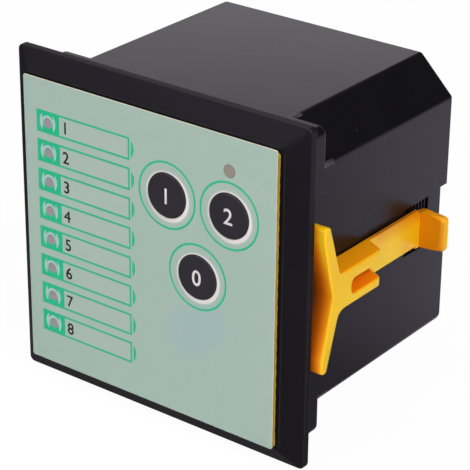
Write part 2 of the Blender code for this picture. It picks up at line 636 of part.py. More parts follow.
def build_lamps(frame):
    """Status lamps and the mode lamp, each with a flange and a round tip."""
    epoxy = principled("lamp_epoxy", (0.55, 0.5, 0.47), 0.25)
    back = DISPLAY_FRONT - FIT_GAP
    tip = ADHESIVE_FRONT + LAMP_TIP_RECESS
    radius = LAMP_DIAMETER / 2
    flange = circle(LAMP_FLANGE_DIAMETER)
    barrel = circle(LAMP_DIAMETER)
    rings = [(flange, back), (flange, back - LAMP_FLANGE_THICKNESS), (barrel, back - LAMP_FLANGE_THICKNESS),
             (barrel, tip + radius)]
    for turn in LAMP_TIP_TURNS:
        angle = math.radians(turn)
        rings.append((circle(LAMP_DIAMETER * math.cos(angle)), tip + radius * (1 - math.sin(angle))))
    for name, x, z in lamp_places():
        smooth_round(finish(name, add_loft(bmesh.new(), rings, "Y"), epoxy, frame, (x, 0.0, z)))


def build_keys(frame):
    """For each key a switch body on the display board and a stem that travels in it."""
    body_plastic = principled("switch_plastic", (0.03, 0.03, 0.03), 0.5)
    stem_plastic = principled("key_plastic", (0.5, 0.5, 0.48), 0.45)
    well_floor = SWITCH_BACK - SWITCH_FLOOR
    stem_end = well_floor - KEY_TRAVEL - FIT_GAP
    cap_back = KEY_CAP_FRONT + KEY_CAP_THICKNESS
    cap = circle(KEY_CAP_DIAMETER, segments=ROUND_SEGMENTS)
    stem = circle(KEY_STEM_DIAMETER, segments=ROUND_SEGMENTS)
    well = circle(KEY_STEM_DIAMETER + 2 * HOLE_CLEARANCE)
    for name, (x, z) in KEYS.items():
        shape = add_prism(bmesh.new(), rectangle(SWITCH_SIDE, SWITCH_SIDE), "Y", SWITCH_FRONT, SWITCH_BACK)
        body = finish(f"switch_body_{name}", shape, body_plastic, frame, (x, 0.0, z))
        room = add_prism(bmesh.new(), well, "Y", SWITCH_FRONT - FIT_GAP, well_floor)
        combine(body, room, "DIFFERENCE", "well")
        shape = add_loft(bmesh.new(), [(cap, KEY_CAP_FRONT), (cap, cap_back), (stem, cap_back),
                                       (stem, stem_end)], "Y")
        smooth_round(finish(f"key_stem_{name}", shape, stem_plastic, frame, (x, 0.0, z)))


def build_boards(frame, board_green):
    """Relay board and logic board, which slide into the case's rails."""
    for name, top in BOARD_TOPS.items():
        low = (-BOARD_HALF, BOARD_FRONT, top - BOARD_THICKNESS)
        shape = add_box(bmesh.new(), low, (BOARD_HALF, BOARD_REAR, top))
        finish(f"{name}_board", shape, board_green, frame)


def build_links(frame):
    """Right-angle pin strips that join each board to the display board."""
    black = principled("strip_plastic", (0.02, 0.02, 0.02), 0.5)
    front = BOARD_FRONT + FIT_GAP
    half = LINK_PIN_COUNT * LINK_PITCH / 2
    for name, top in BOARD_TOPS.items():
        foot = top + FIT_GAP
        shape = add_box(bmesh.new(), (LINK_CENTRE_X - half, front, foot),
                        (LINK_CENTRE_X + half, front + LINK_BODY_DEPTH, foot + LINK_BODY_HEIGHT))
        strip = finish(f"{name}_link", shape, black, frame)
        pins = bmesh.new()
        for x in row_places(LINK_PIN_COUNT, LINK_PITCH, LINK_CENTRE_X):
            pin = rectangle(LINK_PIN_SIDE, LINK_PIN_SIDE, centre=(x, top + LINK_PIN_HEIGHT))
            add_prism(pins, pin, "Y", DISPLAY_FRONT - LINK_PIN_PROUD, front + LINK_BODY_DEPTH / 2)
        combine(strip, pins, "UNION", "pins")


def stand_box(name, size, centre_x, front, top, material, frame):
    """Stand a plain boxed part on a board."""
    width, depth, height = size
    low = (centre_x - width / 2, front, top + FIT_GAP)
    high = (centre_x + width / 2, front + depth, top + FIT_GAP + height)
    finish(name, add_box(bmesh.new(), low, high), material, frame)


def build_relay_board_parts(frame):
    """A row of relays, as many as the board's width takes, and the voltage regulator."""
    top = BOARD_TOPS["relay"]
    relay_black = principled("relay_case", (0.02, 0.03, 0.05), 0.4)
    for index, x in enumerate(row_places(RELAY_COUNT, RELAY_SIZE[0] + RELAY_SPACE)):
        stand_box(f"relay_{index + 1}", RELAY_SIZE, x, RELAY_FRONT, top, relay_black, frame)
    regulator_black = principled("regulator_case", (0.02, 0.02, 0.02), 0.5)
    front = RELAY_FRONT + RELAY_SIZE[1] + REGULATOR_SETBACK
    centre_x = BOARD_HALF - REGULATOR_INSET
    stand_box("voltage_regulator", REGULATOR_SIZE, centre_x, front, top, regulator_black, frame)


def build_logic_board_parts(frame):
    """Capacitors, the controller chip and its crystal."""
    top = BOARD_TOPS["logic"]
    foot = top + FIT_GAP
    sleeve = principled("capacitor_sleeve", (0.02, 0.03, 0.08), 0.4)
    can = circle(CAPACITOR_DIAMETER, segments=ROUND_SEGMENTS)
    last_x = BOARD_HALF - CAPACITOR_INSET
    for index in range(CAPACITOR_COUNT):
        x = last_x - (CAPACITOR_COUNT - 1 - index) * (CAPACITOR_DIAMETER + CAPACITOR_SPACE)
        shape = add_prism(bmesh.new(), can, "Z", foot, CASE_INNER - CAPACITOR_HEADROOM)
        smooth_round(finish(f"capacitor_{index + 1}", shape, sleeve, frame, (x, CAPACITOR_Y, 0.0)))
    stand_box("controller_chip", CHIP_SIZE, 0.0, CHIP_FRONT, top,
              principled("chip_epoxy", (0.02, 0.02, 0.02), 0.6), frame)
    stand_box("crystal", CRYSTAL_SIZE, CRYSTAL_CENTRE_X, CHIP_FRONT, top,
              principled("crystal_can", (0.6, 0.6, 0.6), 0.25, 1.0), frame)


def build_terminals(frame):
    """For each row a pin header on the board, a plug that protrudes at the rear, and its screws."""
    header_green = principled("header_plastic", (0.02, 0.2, 0.08), 0.45)
    plug_green = principled("plug_plastic", (0.03, 0.25, 0.1), 0.45)
    screw_steel = principled("clamp_screw_steel", (0.55, 0.55, 0.55), 0.3, 1.0)
    half = TERMINAL_HEIGHT / 2
    pin_end = HEADER_BACK + HEADER_PIN_LENGTH
    pin_hole = HEADER_PIN_SIDE + 2 * FIT_GAP
    for name, row_z in TERMINAL_ROWS.items():
        outline = rectangle(TERMINAL_WIDTH, TERMINAL_HEIGHT, centre=(0.0, row_z))
        header_box = add_prism(bmesh.new(), outline, "Y", HEADER_FRONT, HEADER_BACK)
        header = finish(f"terminal_header_{name}", header_box, header_green, frame)
        plug_box = add_prism(bmesh.new(), outline, "Y", PLUG_FRONT, PLUG_BACK)
        plug = finish(f"terminal_plug_{name}", plug_box, plug_green, frame)
        pins = bmesh.new()
        holes = bmesh.new()
        well_foot = row_z + half - CLAMP_SCREW_SINK - CLAMP_SCREW_LENGTH - FIT_GAP
        for index, x in enumerate(row_places(TERMINAL_POLES, TERMINAL_PITCH)):
            add_prism(pins, rectangle(HEADER_PIN_SIDE, HEADER_PIN_SIDE, centre=(x, row_z)), "Y",
                      HEADER_BACK - HEADER_THICKNESS / 2, pin_end)
            add_prism(holes, rectangle(pin_hole, pin_hole, centre=(x, row_z)), "Y",
                      PLUG_FRONT - FIT_GAP, pin_end + FIT_GAP)
            entry = rectangle(WIRE_HOLE_WIDTH, WIRE_HOLE_HEIGHT, centre=(x, row_z - WIRE_HOLE_DROP))
            add_prism(holes, entry, "Y", PLUG_BACK - WIRE_HOLE_DEPTH, PLUG_BACK + FIT_GAP)
            centre = (x, PLUG_BACK - CLAMP_SCREW_SETBACK)
            add_prism(holes, circle(CLAMP_SCREW_DIAMETER + 2 * HOLE_CLEARANCE, centre), "Z",
                      well_foot, row_z + half + FIT_GAP)
            screw_name = f"clamp_screw_{name}_{index + 1}"
            build_clamp_screw(screw_name, centre, well_foot + FIT_GAP, screw_steel, frame)
        combine(header, pins, "UNION", "pins")
        combine(plug, holes, "DIFFERENCE", "holes")


def build_clamp_screw(name, centre, foot, steel, frame):
    """One slotted clamp screw standing in its well."""
    top = foot + CLAMP_SCREW_LENGTH
    shape = add_prism(bmesh.new(), circle(CLAMP_SCREW_DIAMETER), "Z", foot, top)
    screw = finish(name, shape, steel, frame, (*centre, 0.0))
    slot = add_box(bmesh.new(), (-CLAMP_SCREW_DIAMETER, -SCREW_SLOT_WIDTH / 2, top - SCREW_SLOT_DEPTH),
                   (CLAMP_SCREW_DIAMETER, SCREW_SLOT_WIDTH / 2, top + FIT_GAP))
    combine(screw, slot, "DIFFERENCE", "slot")
    smooth_round(screw)


def clip_side_outline():
    """Return the clip's side outline (Y, Z): the bent bar in front and the two fingers behind it."""
    tip = BAR_LENGTH / 2
    pad_end = tip - BAR_PAD_LENGTH
    tip_rear = BAR_FRONT + BAR_TIP_DEPTH
    arm, foot, gap = ARM_HEIGHT / 2, ARM_FOOT_INSET - ARM_HEIGHT / 2, FORK_GAP / 2
    behind = FORK_ROOT_END + FIT_GAP
    return rounded([
        (BAR_FRONT, tip, BAR_END_RADIUS), (tip_rear, tip, BAR_END_RADIUS),
        (BAR_ROOT_REAR, arm, BAR_UPPER_FILLET), (behind, arm, 0.0), (behind, gap, 0.0),
        (FORK_GAP_FRONT, gap, FORK_GAP_RADIUS), (FORK_GAP_FRONT, -gap, FORK_GAP_RADIUS),
        (behind, -gap, 0.0), (behind, foot, 0.0), (BAR_ROOT_REAR, foot, BAR_LOWER_FILLET),
        (tip_rear, -tip, BAR_END_RADIUS), (BAR_FRONT, -tip, BAR_END_RADIUS),
        (BAR_FRONT, -pad_end, 0.0), (BAR_FRONT + BAR_BEND, 0.0, 0.0), (BAR_FRONT, pad_end, 0.0)])


def clip_plan_outline(side):
    """Return the plan outline (X, Y) that slants and rounds the ends of the fingers."""
    corners = [(CLIP_INNER, 0.0, 0.0), (CLIP_OUTER, 0.0, 0.0),
               (CLIP_OUTER, FORK_TIP_END, FORK_TIP_RADIUS), (CLIP_INNER, FORK_ROOT_END, 0.0)]
    return [(side * point.x, point.y) for point in rounded(corners)]


def tab_plan_outline(side):
    """Return the plan outline (X, Y) of the thumb tab, from the arm to its round outer end."""
    outer = CLIP_INNER + TAB_REACH
    arm = CLIP_INNER + ARM_THICKNESS
    rear = TAB_FRONT + TAB_THICKNESS
    base = TAB_FRONT - TAB_THICKNESS / 2
    corners = [(CLIP_INNER, base, 0.0), (arm, base, 0.0), (arm, TAB_FRONT, 0.0),
               (outer, TAB_FRONT, TAB_EDGE_RADIUS), (outer, rear, TAB_EDGE_RADIUS),
               (CLIP_INNER, rear, TAB_EDGE_RADIUS)]
    return [(side * point.x, point.y) for point in rounded(corners)]


def foot_outline(side):
    """Return the front outline (X, Z) of the foot: a neck through the wall and a head behind it."""
    embed = CLIP_INNER + ARM_THICKNESS / 2
    head_outer = CASE_INNER - HOLE_CLEARANCE
    head_inner = head_outer - FOOT_HEAD_THICKNESS
    neck, head = FOOT_NECK_HEIGHT / 2, FOOT_HEAD_HEIGHT / 2
    points = [(embed, -neck), (head_outer, -neck), (head_outer, -head), (head_inner, -head),
              (head_inner, head), (head_outer, head), (head_outer, neck), (embed, neck)]
    return [(side * x, z) for x, z in points]


def build_clip(frame, name, side, yellow):
    """Mounting clip: a bent bar that presses on the panel, a fork, an arm, a guide foot and a tab."""
    ends = sorted((side * CLIP_INNER, side * CLIP_OUTER))
    shape = add_prism(bmesh.new(), clip_side_outline(), "X", *ends)
    clip = finish(name, shape, yellow, frame, (0.0, 0.0, CLIP_CENTRE_Z))
    plan = add_prism(bmesh.new(), clip_plan_outline(side), "Z", -BAR_LENGTH, BAR_LENGTH)
    combine(clip, plan, "INTERSECT", "plan")
    arm = add_side_box(bmesh.new(), side, CLIP_INNER, CLIP_INNER + ARM_THICKNESS, BAR_ROOT_REAR,
                       TAB_FRONT - TAB_THICKNESS / 4, ARM_HEIGHT - ARM_FOOT_INSET, ARM_FOOT_INSET / 2)
    combine(clip, arm, "UNION", "arm")
    low, high = TAB_FOOT_INSET - ARM_HEIGHT / 2, ARM_HEIGHT / 2 - TAB_TOP_INSET
    combine(clip, add_prism(bmesh.new(), tab_plan_outline(side), "Z", low, high), "UNION", "tab")
    foot_front = GUIDE_FRONT + FIT_GAP
    foot = add_prism(bmesh.new(), foot_outline(side), "Y", foot_front, foot_front + FOOT_LENGTH)
    pawl_front = WINDOW_FRONT + PAWL_SETBACK
    add_side_box(foot, side, CASE_HALF - WINDOW_SHALLOW + FIT_GAP, CLIP_INNER + ARM_THICKNESS / 2,
                 pawl_front, pawl_front + PAWL_LENGTH, PAWL_WIDTH)
    combine(clip, foot, "UNION", "foot")


def build():
    """Build the whole controller."""
    for old in list(bpy.data.objects):
        bpy.data.objects.remove(old)
    frame = bpy.data.objects.new("controller_frame", None)
    bpy.context.scene.collection.objects.link(frame)
    frame.location = (0.0, -(DOME_FRONT + PLUG_BACK) / 2, BEZEL_SIDE / 2)
    build_bezel(frame)
    build_film(frame)
    build_adhesive(frame)
    build_case(frame)
    build_cover(frame)
    build_cover_screws(frame)
    board_green = principled("circuit_board", (0.02, 0.12, 0.05), 0.5)
    build_display_board(frame, board_green)
    build_lamps(frame)
    build_keys(frame)
    build_boards(frame, board_green)
    build_links(frame)
    build_relay_board_parts(frame)
    build_logic_board_parts(frame)
    build_terminals(frame)
    yellow = principled("clip_plastic", (0.85, 0.45, 0.02), 0.4)
    build_clip(frame, "clip_right", 1, yellow)
    build_clip(frame, "clip_left", -1, yellow)


build()
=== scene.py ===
"""The looks of a square panel-mount generator controller.

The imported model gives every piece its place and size. This script rounds the edges that the eye
meets, prints the front, finishes every surface, and sets up a plain studio with the camera.

Sizes are in millimetres in the controller's own axes: X to the right seen from the front, Y into
the panel, Z up, from the middle of the panel plane. The class Panel turns them into the scene's
metres. Colours are written as red, green and blue from 0 to 255, as they should look on screen.
"""
from __future__ import annotations

import json
import logging
import math
from contextlib import contextmanager
from dataclasses import dataclass
from enum import Enum
from typing import Callable, Iterable, Iterator, Optional, Sequence, Union

import bmesh
import bpy
from bmesh.types import BMEdge, BMesh, BMFace
from bpy.types import ID, Material, Mesh, Node, NodeSocket, Object
from mathutils import Matrix, Vector

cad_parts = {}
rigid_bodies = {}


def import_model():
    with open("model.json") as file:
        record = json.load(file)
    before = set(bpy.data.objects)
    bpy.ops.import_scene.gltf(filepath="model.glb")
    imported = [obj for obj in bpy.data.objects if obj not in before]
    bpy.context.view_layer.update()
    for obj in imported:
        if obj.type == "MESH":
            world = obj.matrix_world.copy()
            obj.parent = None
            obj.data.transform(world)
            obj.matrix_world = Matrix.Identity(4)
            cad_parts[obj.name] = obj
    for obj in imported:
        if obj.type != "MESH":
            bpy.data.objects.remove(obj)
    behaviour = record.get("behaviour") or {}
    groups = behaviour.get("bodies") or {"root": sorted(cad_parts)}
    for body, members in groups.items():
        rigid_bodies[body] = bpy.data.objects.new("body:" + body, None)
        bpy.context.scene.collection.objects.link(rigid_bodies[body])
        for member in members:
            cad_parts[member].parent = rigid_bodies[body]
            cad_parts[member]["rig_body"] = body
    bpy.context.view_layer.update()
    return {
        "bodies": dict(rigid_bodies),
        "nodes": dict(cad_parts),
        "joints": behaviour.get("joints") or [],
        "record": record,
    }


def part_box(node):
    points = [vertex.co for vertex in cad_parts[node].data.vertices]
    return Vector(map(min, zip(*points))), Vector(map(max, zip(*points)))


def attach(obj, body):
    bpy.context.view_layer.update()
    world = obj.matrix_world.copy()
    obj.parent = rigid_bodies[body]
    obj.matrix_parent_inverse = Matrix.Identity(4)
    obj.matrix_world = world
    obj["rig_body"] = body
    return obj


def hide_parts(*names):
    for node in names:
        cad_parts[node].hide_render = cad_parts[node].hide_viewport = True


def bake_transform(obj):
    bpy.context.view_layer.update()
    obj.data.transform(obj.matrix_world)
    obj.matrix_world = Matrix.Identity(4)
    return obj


LOG = logging.getLogger("controller")
MM = 0.001
MERGE_DISTANCE = 1e-6
# A corner this near to a plane, in millimetres, counts as lying on it.
NEAR = 0.05
FACING_LAYER = "rounded_facing"

Colour = tuple[int, int, int]
Point = tuple[float, float, float]
Pair = tuple[float, float]


def linear(colour: Colour) -> tuple[float, float, float, float]:
    """Turn a screen colour into the linear colour that shaders work in.

    Args:
        colour: Red, green and blue from 0 to 255.

    Returns:
        The linear colour, opaque.
    """
    parts = [value / 255 for value in colour]
    red, green, blue = (part / 12.92 if part <= 0.04045 else ((part + 0.055) / 1.055) ** 2.4
                        for part in parts)
    return red, green, blue, 1.0


def toned(colour: Colour, factor: float, lift: float = 0.0) -> Colour:
    """Return a colour made lighter or darker by a factor and an amount."""
    red, green, blue = (min(255, round(part * factor + lift)) for part in colour)
    return red, green, blue


def configured(target: object, **values: object) -> object:
    """Set some properties of a new modifier, curve, lamp or camera, and return it.

    Args:
        target: What gets the properties.
        values: The properties by name.

    Returns:
        The same target.
    """
    for key, value in values.items():
        setattr(target, key, value)
    return target


@dataclass(frozen=True)
class Panel:
    """The controller's own axes: the middle of the panel plane, in the scene's metres."""

    origin: Vector

    @classmethod
    def from_frame(cls, frame: dict) -> Panel:
        """Find the panel plane from the record's seat and the front frame's box.


        Returns:
            The axes.
        """
        seat = next(mount for mount in frame["record"]["mounts"] if mount["name"] == "panel_seat")
        low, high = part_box("bezel")
        return cls(Vector(((low.x + high.x) / 2, seat["pos_m"][1], (low.z + high.z) / 2)))

    def place(self, x: float, y: float, z: float) -> Vector:
        """Return the scene point of a place in millimetres."""
        return self.origin + Vector((x, y, z)) * MM

    def millimetres(self, point: Vector) -> Vector:
        """Return a scene point in millimetres from the middle of the panel plane."""
        return (point - self.origin) / MM

    def middle(self, node: str) -> Vector:
        """Return the middle of a node's box, in millimetres."""
        low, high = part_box(node)
        return self.millimetres((low + high) / 2)

    def span(self, node: str) -> tuple[Vector, Vector]:
        """Return the lowest and the highest corner of a node's box, in millimetres."""
        low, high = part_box(node)
        return self.millimetres(low), self.millimetres(high)


Number = Union[float, "Wire"]
Layer = tuple["Wire", Union["Wire", Colour]]


def operator(operation: str, reflected: bool = False) -> Callable[[Wire, Number], Wire]:
    """Make a method of Wire that adds a Math node.

    Args:
        operation: The Math node's operation.
        reflected: Whether the wire is the second operand.

    Returns:
        The method, which takes the other operand.
    """
    def apply(wire: Wire, other: Number) -> Wire:
        """Return the Math node's result."""
        return wire.math(operation, *((other, wire) if reflected else (wire, other)))

    return apply


@dataclass(frozen=True)
class Wire:
    """A shader socket that takes part in Python arithmetic."""

    sheet: NodeSheet
    socket: NodeSocket

    __add__ = __radd__ = operator("ADD")
    __sub__ = operator("SUBTRACT")
    __rsub__ = operator("SUBTRACT", reflected=True)
    __mul__ = __rmul__ = operator("MULTIPLY")
    __truediv__ = operator("DIVIDE")
    __rtruediv__ = operator("DIVIDE", reflected=True)
    least = operator("MINIMUM")
    most = operator("MAXIMUM")

    def math(self, operation: str, *values: Number) -> Wire:
        """Return a Math node's result on numbers or wires."""
        return self.sheet.node("ShaderNodeMath", {"operation": operation}, dict(enumerate(values)))

    def __neg__(self) -> Wire:
        """Return the value with its sign turned."""
        return self * -1.0

    def __abs__(self) -> Wire:
        """Return the value without its sign."""
        return self.math("ABSOLUTE", self)

    def root(self) -> Wire:
        """Return the square root."""
        return self.math("SQRT", self)

    def clamped(self) -> Wire:
        """Return the value held between 0 and 1."""
        return self.least(1.0).most(0.0)

    def ramp(self, start: float, end: float) -> Wire:
        """Return a straight rise from 0 at one value to 1 at another, held beyond them."""
        return ((self - start) / (end - start)).clamped()

    def repeated(self, period: float) -> Wire:
        """Return the value folded into one period about zero."""
        return self.math("WRAP", self, period / 2, -period / 2)

    def inside(self, softness: float = 0.06) -> Wire:
        """Return 1 where this distance is negative, with an edge of the given softness."""
        return (0.5 - self / softness).clamped()


class NodeSheet:
    """The nodes of one material, around a Principled shader."""

    def __init__(self, name: str, panel: Panel) -> None:
        """Start a material under a name, in the controller's axes.

        Args:
            name: The material's name.
            panel: The controller's own axes.
        """
        self.material = bpy.data.materials.new(name)
        self.material.use_nodes = True
        self.tree = self.material.node_tree
        self.shader = self.tree.nodes["Principled BSDF"]
        self.panel = panel

    def node(self, kind: str, settings: Optional[dict] = None, inputs: Optional[dict] = None,
             output: Union[int, str] = 0) -> Wire:
        """Make a node.

        Args:
            kind: The node's type.
            settings: Its properties, and under "stops" a ramp's positions and colours.
            inputs: Values or wires for its sockets, by name or index.
            output: The output socket that the result stands for.

        Returns:
            The chosen output as a wire.
        """
        made = self.tree.nodes.new(kind)
        for key, value in (settings or {}).items():
            if key == "stops":
                self._set_stops(made, value)
            else:
                setattr(made, key, value)
        for key, value in (inputs or {}).items():
            self._feed(made.inputs[key], value)
        return Wire(self, made.outputs[output])

    def _set_stops(self, ramp: Node, stops: Sequence[tuple[float, tuple]]) -> None:
        """Give a ramp its stops.

        Args:
            ramp: The Color Ramp node.
            stops: The stops' positions and colours, in order.
        """
        elements = ramp.color_ramp.elements
        while len(elements) > 1:
            elements.remove(elements[-1])
        elements[0].position, elements[0].color = stops[0]
        for position, colour in stops[1:]:
            elements.new(position).color = colour

    def _feed(self, socket: NodeSocket, value: object) -> None:
        """Set a socket, or link a wire to it.

        Args:
            socket: The input socket.
            value: A wire, or the socket's fixed value.
        """
        if isinstance(value, Wire):
            self.tree.links.new(value.socket, socket)
        else:
            socket.default_value = value

    def set(self, **values: object) -> None:
        """Feed the shader's sockets, named with underscores for spaces."""
        for key, value in values.items():
            self._feed(self.shader.inputs[key.replace("_", " ")], value)

    def finish_with(self, surface: Wire) -> None:
        """Make another shader the material's surface."""
        self._feed(self.tree.nodes["Material Output"].inputs["Surface"], surface)

    def place(self) -> Wire:
        """Return the surface point in millimetres from the middle of the panel plane.

        Returns:
            The point as a vector.
        """
        point = self.node("ShaderNodeTexCoord", output="Object")
        moved = self._vector("SUBTRACT", {0: point, 1: self.panel.origin})
        return self._vector("SCALE", {0: moved, "Scale": 1 / MM})

    def stretched(self, scale: Point) -> Wire:
        """Return the surface point in millimetres, scaled along each axis."""
        return self._vector("MULTIPLY", {0: self.place(), 1: scale})

    def _vector(self, operation: str, inputs: dict) -> Wire:
        """Return a Vector Math node's result on its inputs."""
        return self.node("ShaderNodeVectorMath", {"operation": operation}, inputs)

    def parts(self, vector: Wire) -> tuple[Wire, Wire, Wire]:
        """Return a vector's three parts."""
        outputs = self.node("ShaderNodeSeparateXYZ", {}, {"Vector": vector}).socket.node.outputs
        return Wire(self, outputs["X"]), Wire(self, outputs["Y"]), Wire(self, outputs["Z"])

    def noise(self, scale: float, detail: float = 3.0, roughness: float = 0.5,
              place: Optional[Wire] = None) -> Wire:
        """Return noise from 0 to 1 with features of about 1 / scale millimetres."""
        return self.node("ShaderNodeTexNoise", {}, {"Vector": place or self.place(), "Scale": scale,
                                                    "Detail": detail, "Roughness": roughness})

    def specks(self, per_mm: float, size: float, share: float) -> Wire:
        """Return 1 on small scattered specks.

        Args:
            per_mm: Cells along one millimetre.
            size: A speck's radius as a share of its cell.
            share: How many of the cells hold a speck, from 0 to 1.

        Returns:
            The specks as a mask.
        """
        inputs = {"Vector": self.place(), "Scale": per_mm}
        distance = self.node("ShaderNodeTexVoronoi", {}, inputs)
        cell = self.node("ShaderNodeTexVoronoi", {}, inputs, output="Color")
        chance = self.node("ShaderNodeSeparateColor", {}, {"Color": cell})
        return (distance - size).inside(size) * (chance - share).inside(0.01)

    def ranged(self, value: Wire, low: float, high: float) -> Wire:
        """Return a value from 0 to 1 spread between two numbers."""
        return value * (high - low) + low

    def mixed(self, factor: Number, first: object, second: object) -> Wire:
        """Return a blend of two colours, each given as a wire or a screen colour.

        Args:
            factor: The second colour's share, from 0 to 1.
            first: The colour at 0.
            second: The colour at 1.

        Returns:
            The blend.
        """
        pair = [value if isinstance(value, Wire) else linear(value) for value in (first, second)]
        return self.node("ShaderNodeMix", {"data_type": "RGBA"}, {0: factor, 6: pair[0], 7: pair[1]},
                         output=2)

    def layered(self, ground: object, *layers: Layer) -> Wire:
        """Return a ground colour with other colours laid over it in turn, each through its mask.

        Args:
            ground: The lowest colour.
            layers: Each layer's mask and colour.

        Returns:
            The colour with all layers on it.
        """
        for mask, colour in layers:
            ground = self.mixed(mask, ground, colour)
        return ground

    def raise_by(self, height: Wire, millimetres: float) -> None:
        """Raise the surface by a height from 0 to 1 times a number of millimetres."""
        self.set(Normal=self.node("ShaderNodeBump", {}, {"Height": height, "Distance": millimetres * MM}))


@dataclass(frozen=True)
class Finish:
    """A surface finish, whose kinds each dress a material in their own way."""

    name: str

    def material(self, panel: Panel) -> Material:
        """Build the material in the controller's axes.

        Args:
            panel: The controller's own axes.

        Returns:
            The material.
        """
        sheet = NodeSheet(self.name, panel)
        self.dress(sheet)
        return sheet.material

    def dress(self, sheet: NodeSheet) -> None:
        """Put the finish's nodes on a sheet."""
        raise NotImplementedError


@dataclass(frozen=True)
class MouldedPlastic(Finish):
    """A moulded plastic with a fine grain, faint scuffs, a little dust and a painted top reflection."""

    colour: Colour
    roughness: float
    grain: float = 0.012
    grain_scale: float = 5.0
    scuffs: float = 0.35
    dust: float = 0.03
    dust_colour: Colour = (118, 116, 112)
    specular: float = 0.5
    gloss_tint: Point = (0.95, 0.89, 1.0)
    wear: float = 0.0
    wear_end: float = 14.0
    wear_colour: Colour = (120, 120, 124)
    top_reflection: float = 0.0
    top_reflection_span: Pair = (-15.0, 75.0)
    top_reflection_colour: Colour = (96, 90, 98)
    top: Pair = (43.6, 43.68)

    def dress(self, sheet: NodeSheet) -> None:
        """Lay scuffs, specks, a painted reflection on the top face, lighter towards the back and the left,
        and the worn edges over the plastic.

        Args:
            sheet: The material's nodes.
        """
        cloud = sheet.noise(0.06, detail=2.0)
        grain = sheet.noise(self.grain_scale, detail=2.0, roughness=0.6)
        streaks = sheet.noise(1.0, detail=4.0, roughness=0.7, place=sheet.stretched((0.25, 0.08, 2.2)))
        scuffs = (streaks * 3.2 - 1.9).clamped() * self.scuffs
        colour = sheet.mixed(scuffs * 0.5 + cloud * 0.25, self.colour, toned(self.colour, 1.5, lift=10))
        specks = sheet.specks(per_mm=0.32, size=0.045, share=self.dust)
        colour = sheet.mixed(specks, colour, self.dust_colour)
        across, back, up = sheet.parts(sheet.place())
        # Painted reflection: a lighter violet grey on the top face, growing towards the back and the left.
        if self.top_reflection:
            spread = (back * 0.9 - across * 0.4).ramp(*self.top_reflection_span) * up.ramp(*self.top)
            colour = sheet.mixed(spread * (0.75 + 0.5 * cloud) * self.top_reflection, colour, self.top_reflection_colour)
        if self.wear:
            rubbed = (sheet.noise(0.9, detail=4.0, roughness=0.7) * 2.4 - 0.75).clamped() * self.wear
            colour = sheet.mixed(rubbed * (self.wear_end - back).clamped(), colour, self.wear_colour)
        roughness = sheet.ranged(cloud + scuffs * 0.5, self.roughness - 0.05, self.roughness + 0.07)
        sheet.set(Base_Color=colour, Roughness=roughness, Specular_IOR_Level=self.specular,
                  Specular_Tint=(*self.gloss_tint, 1.0))
        sheet.raise_by(grain, self.grain)


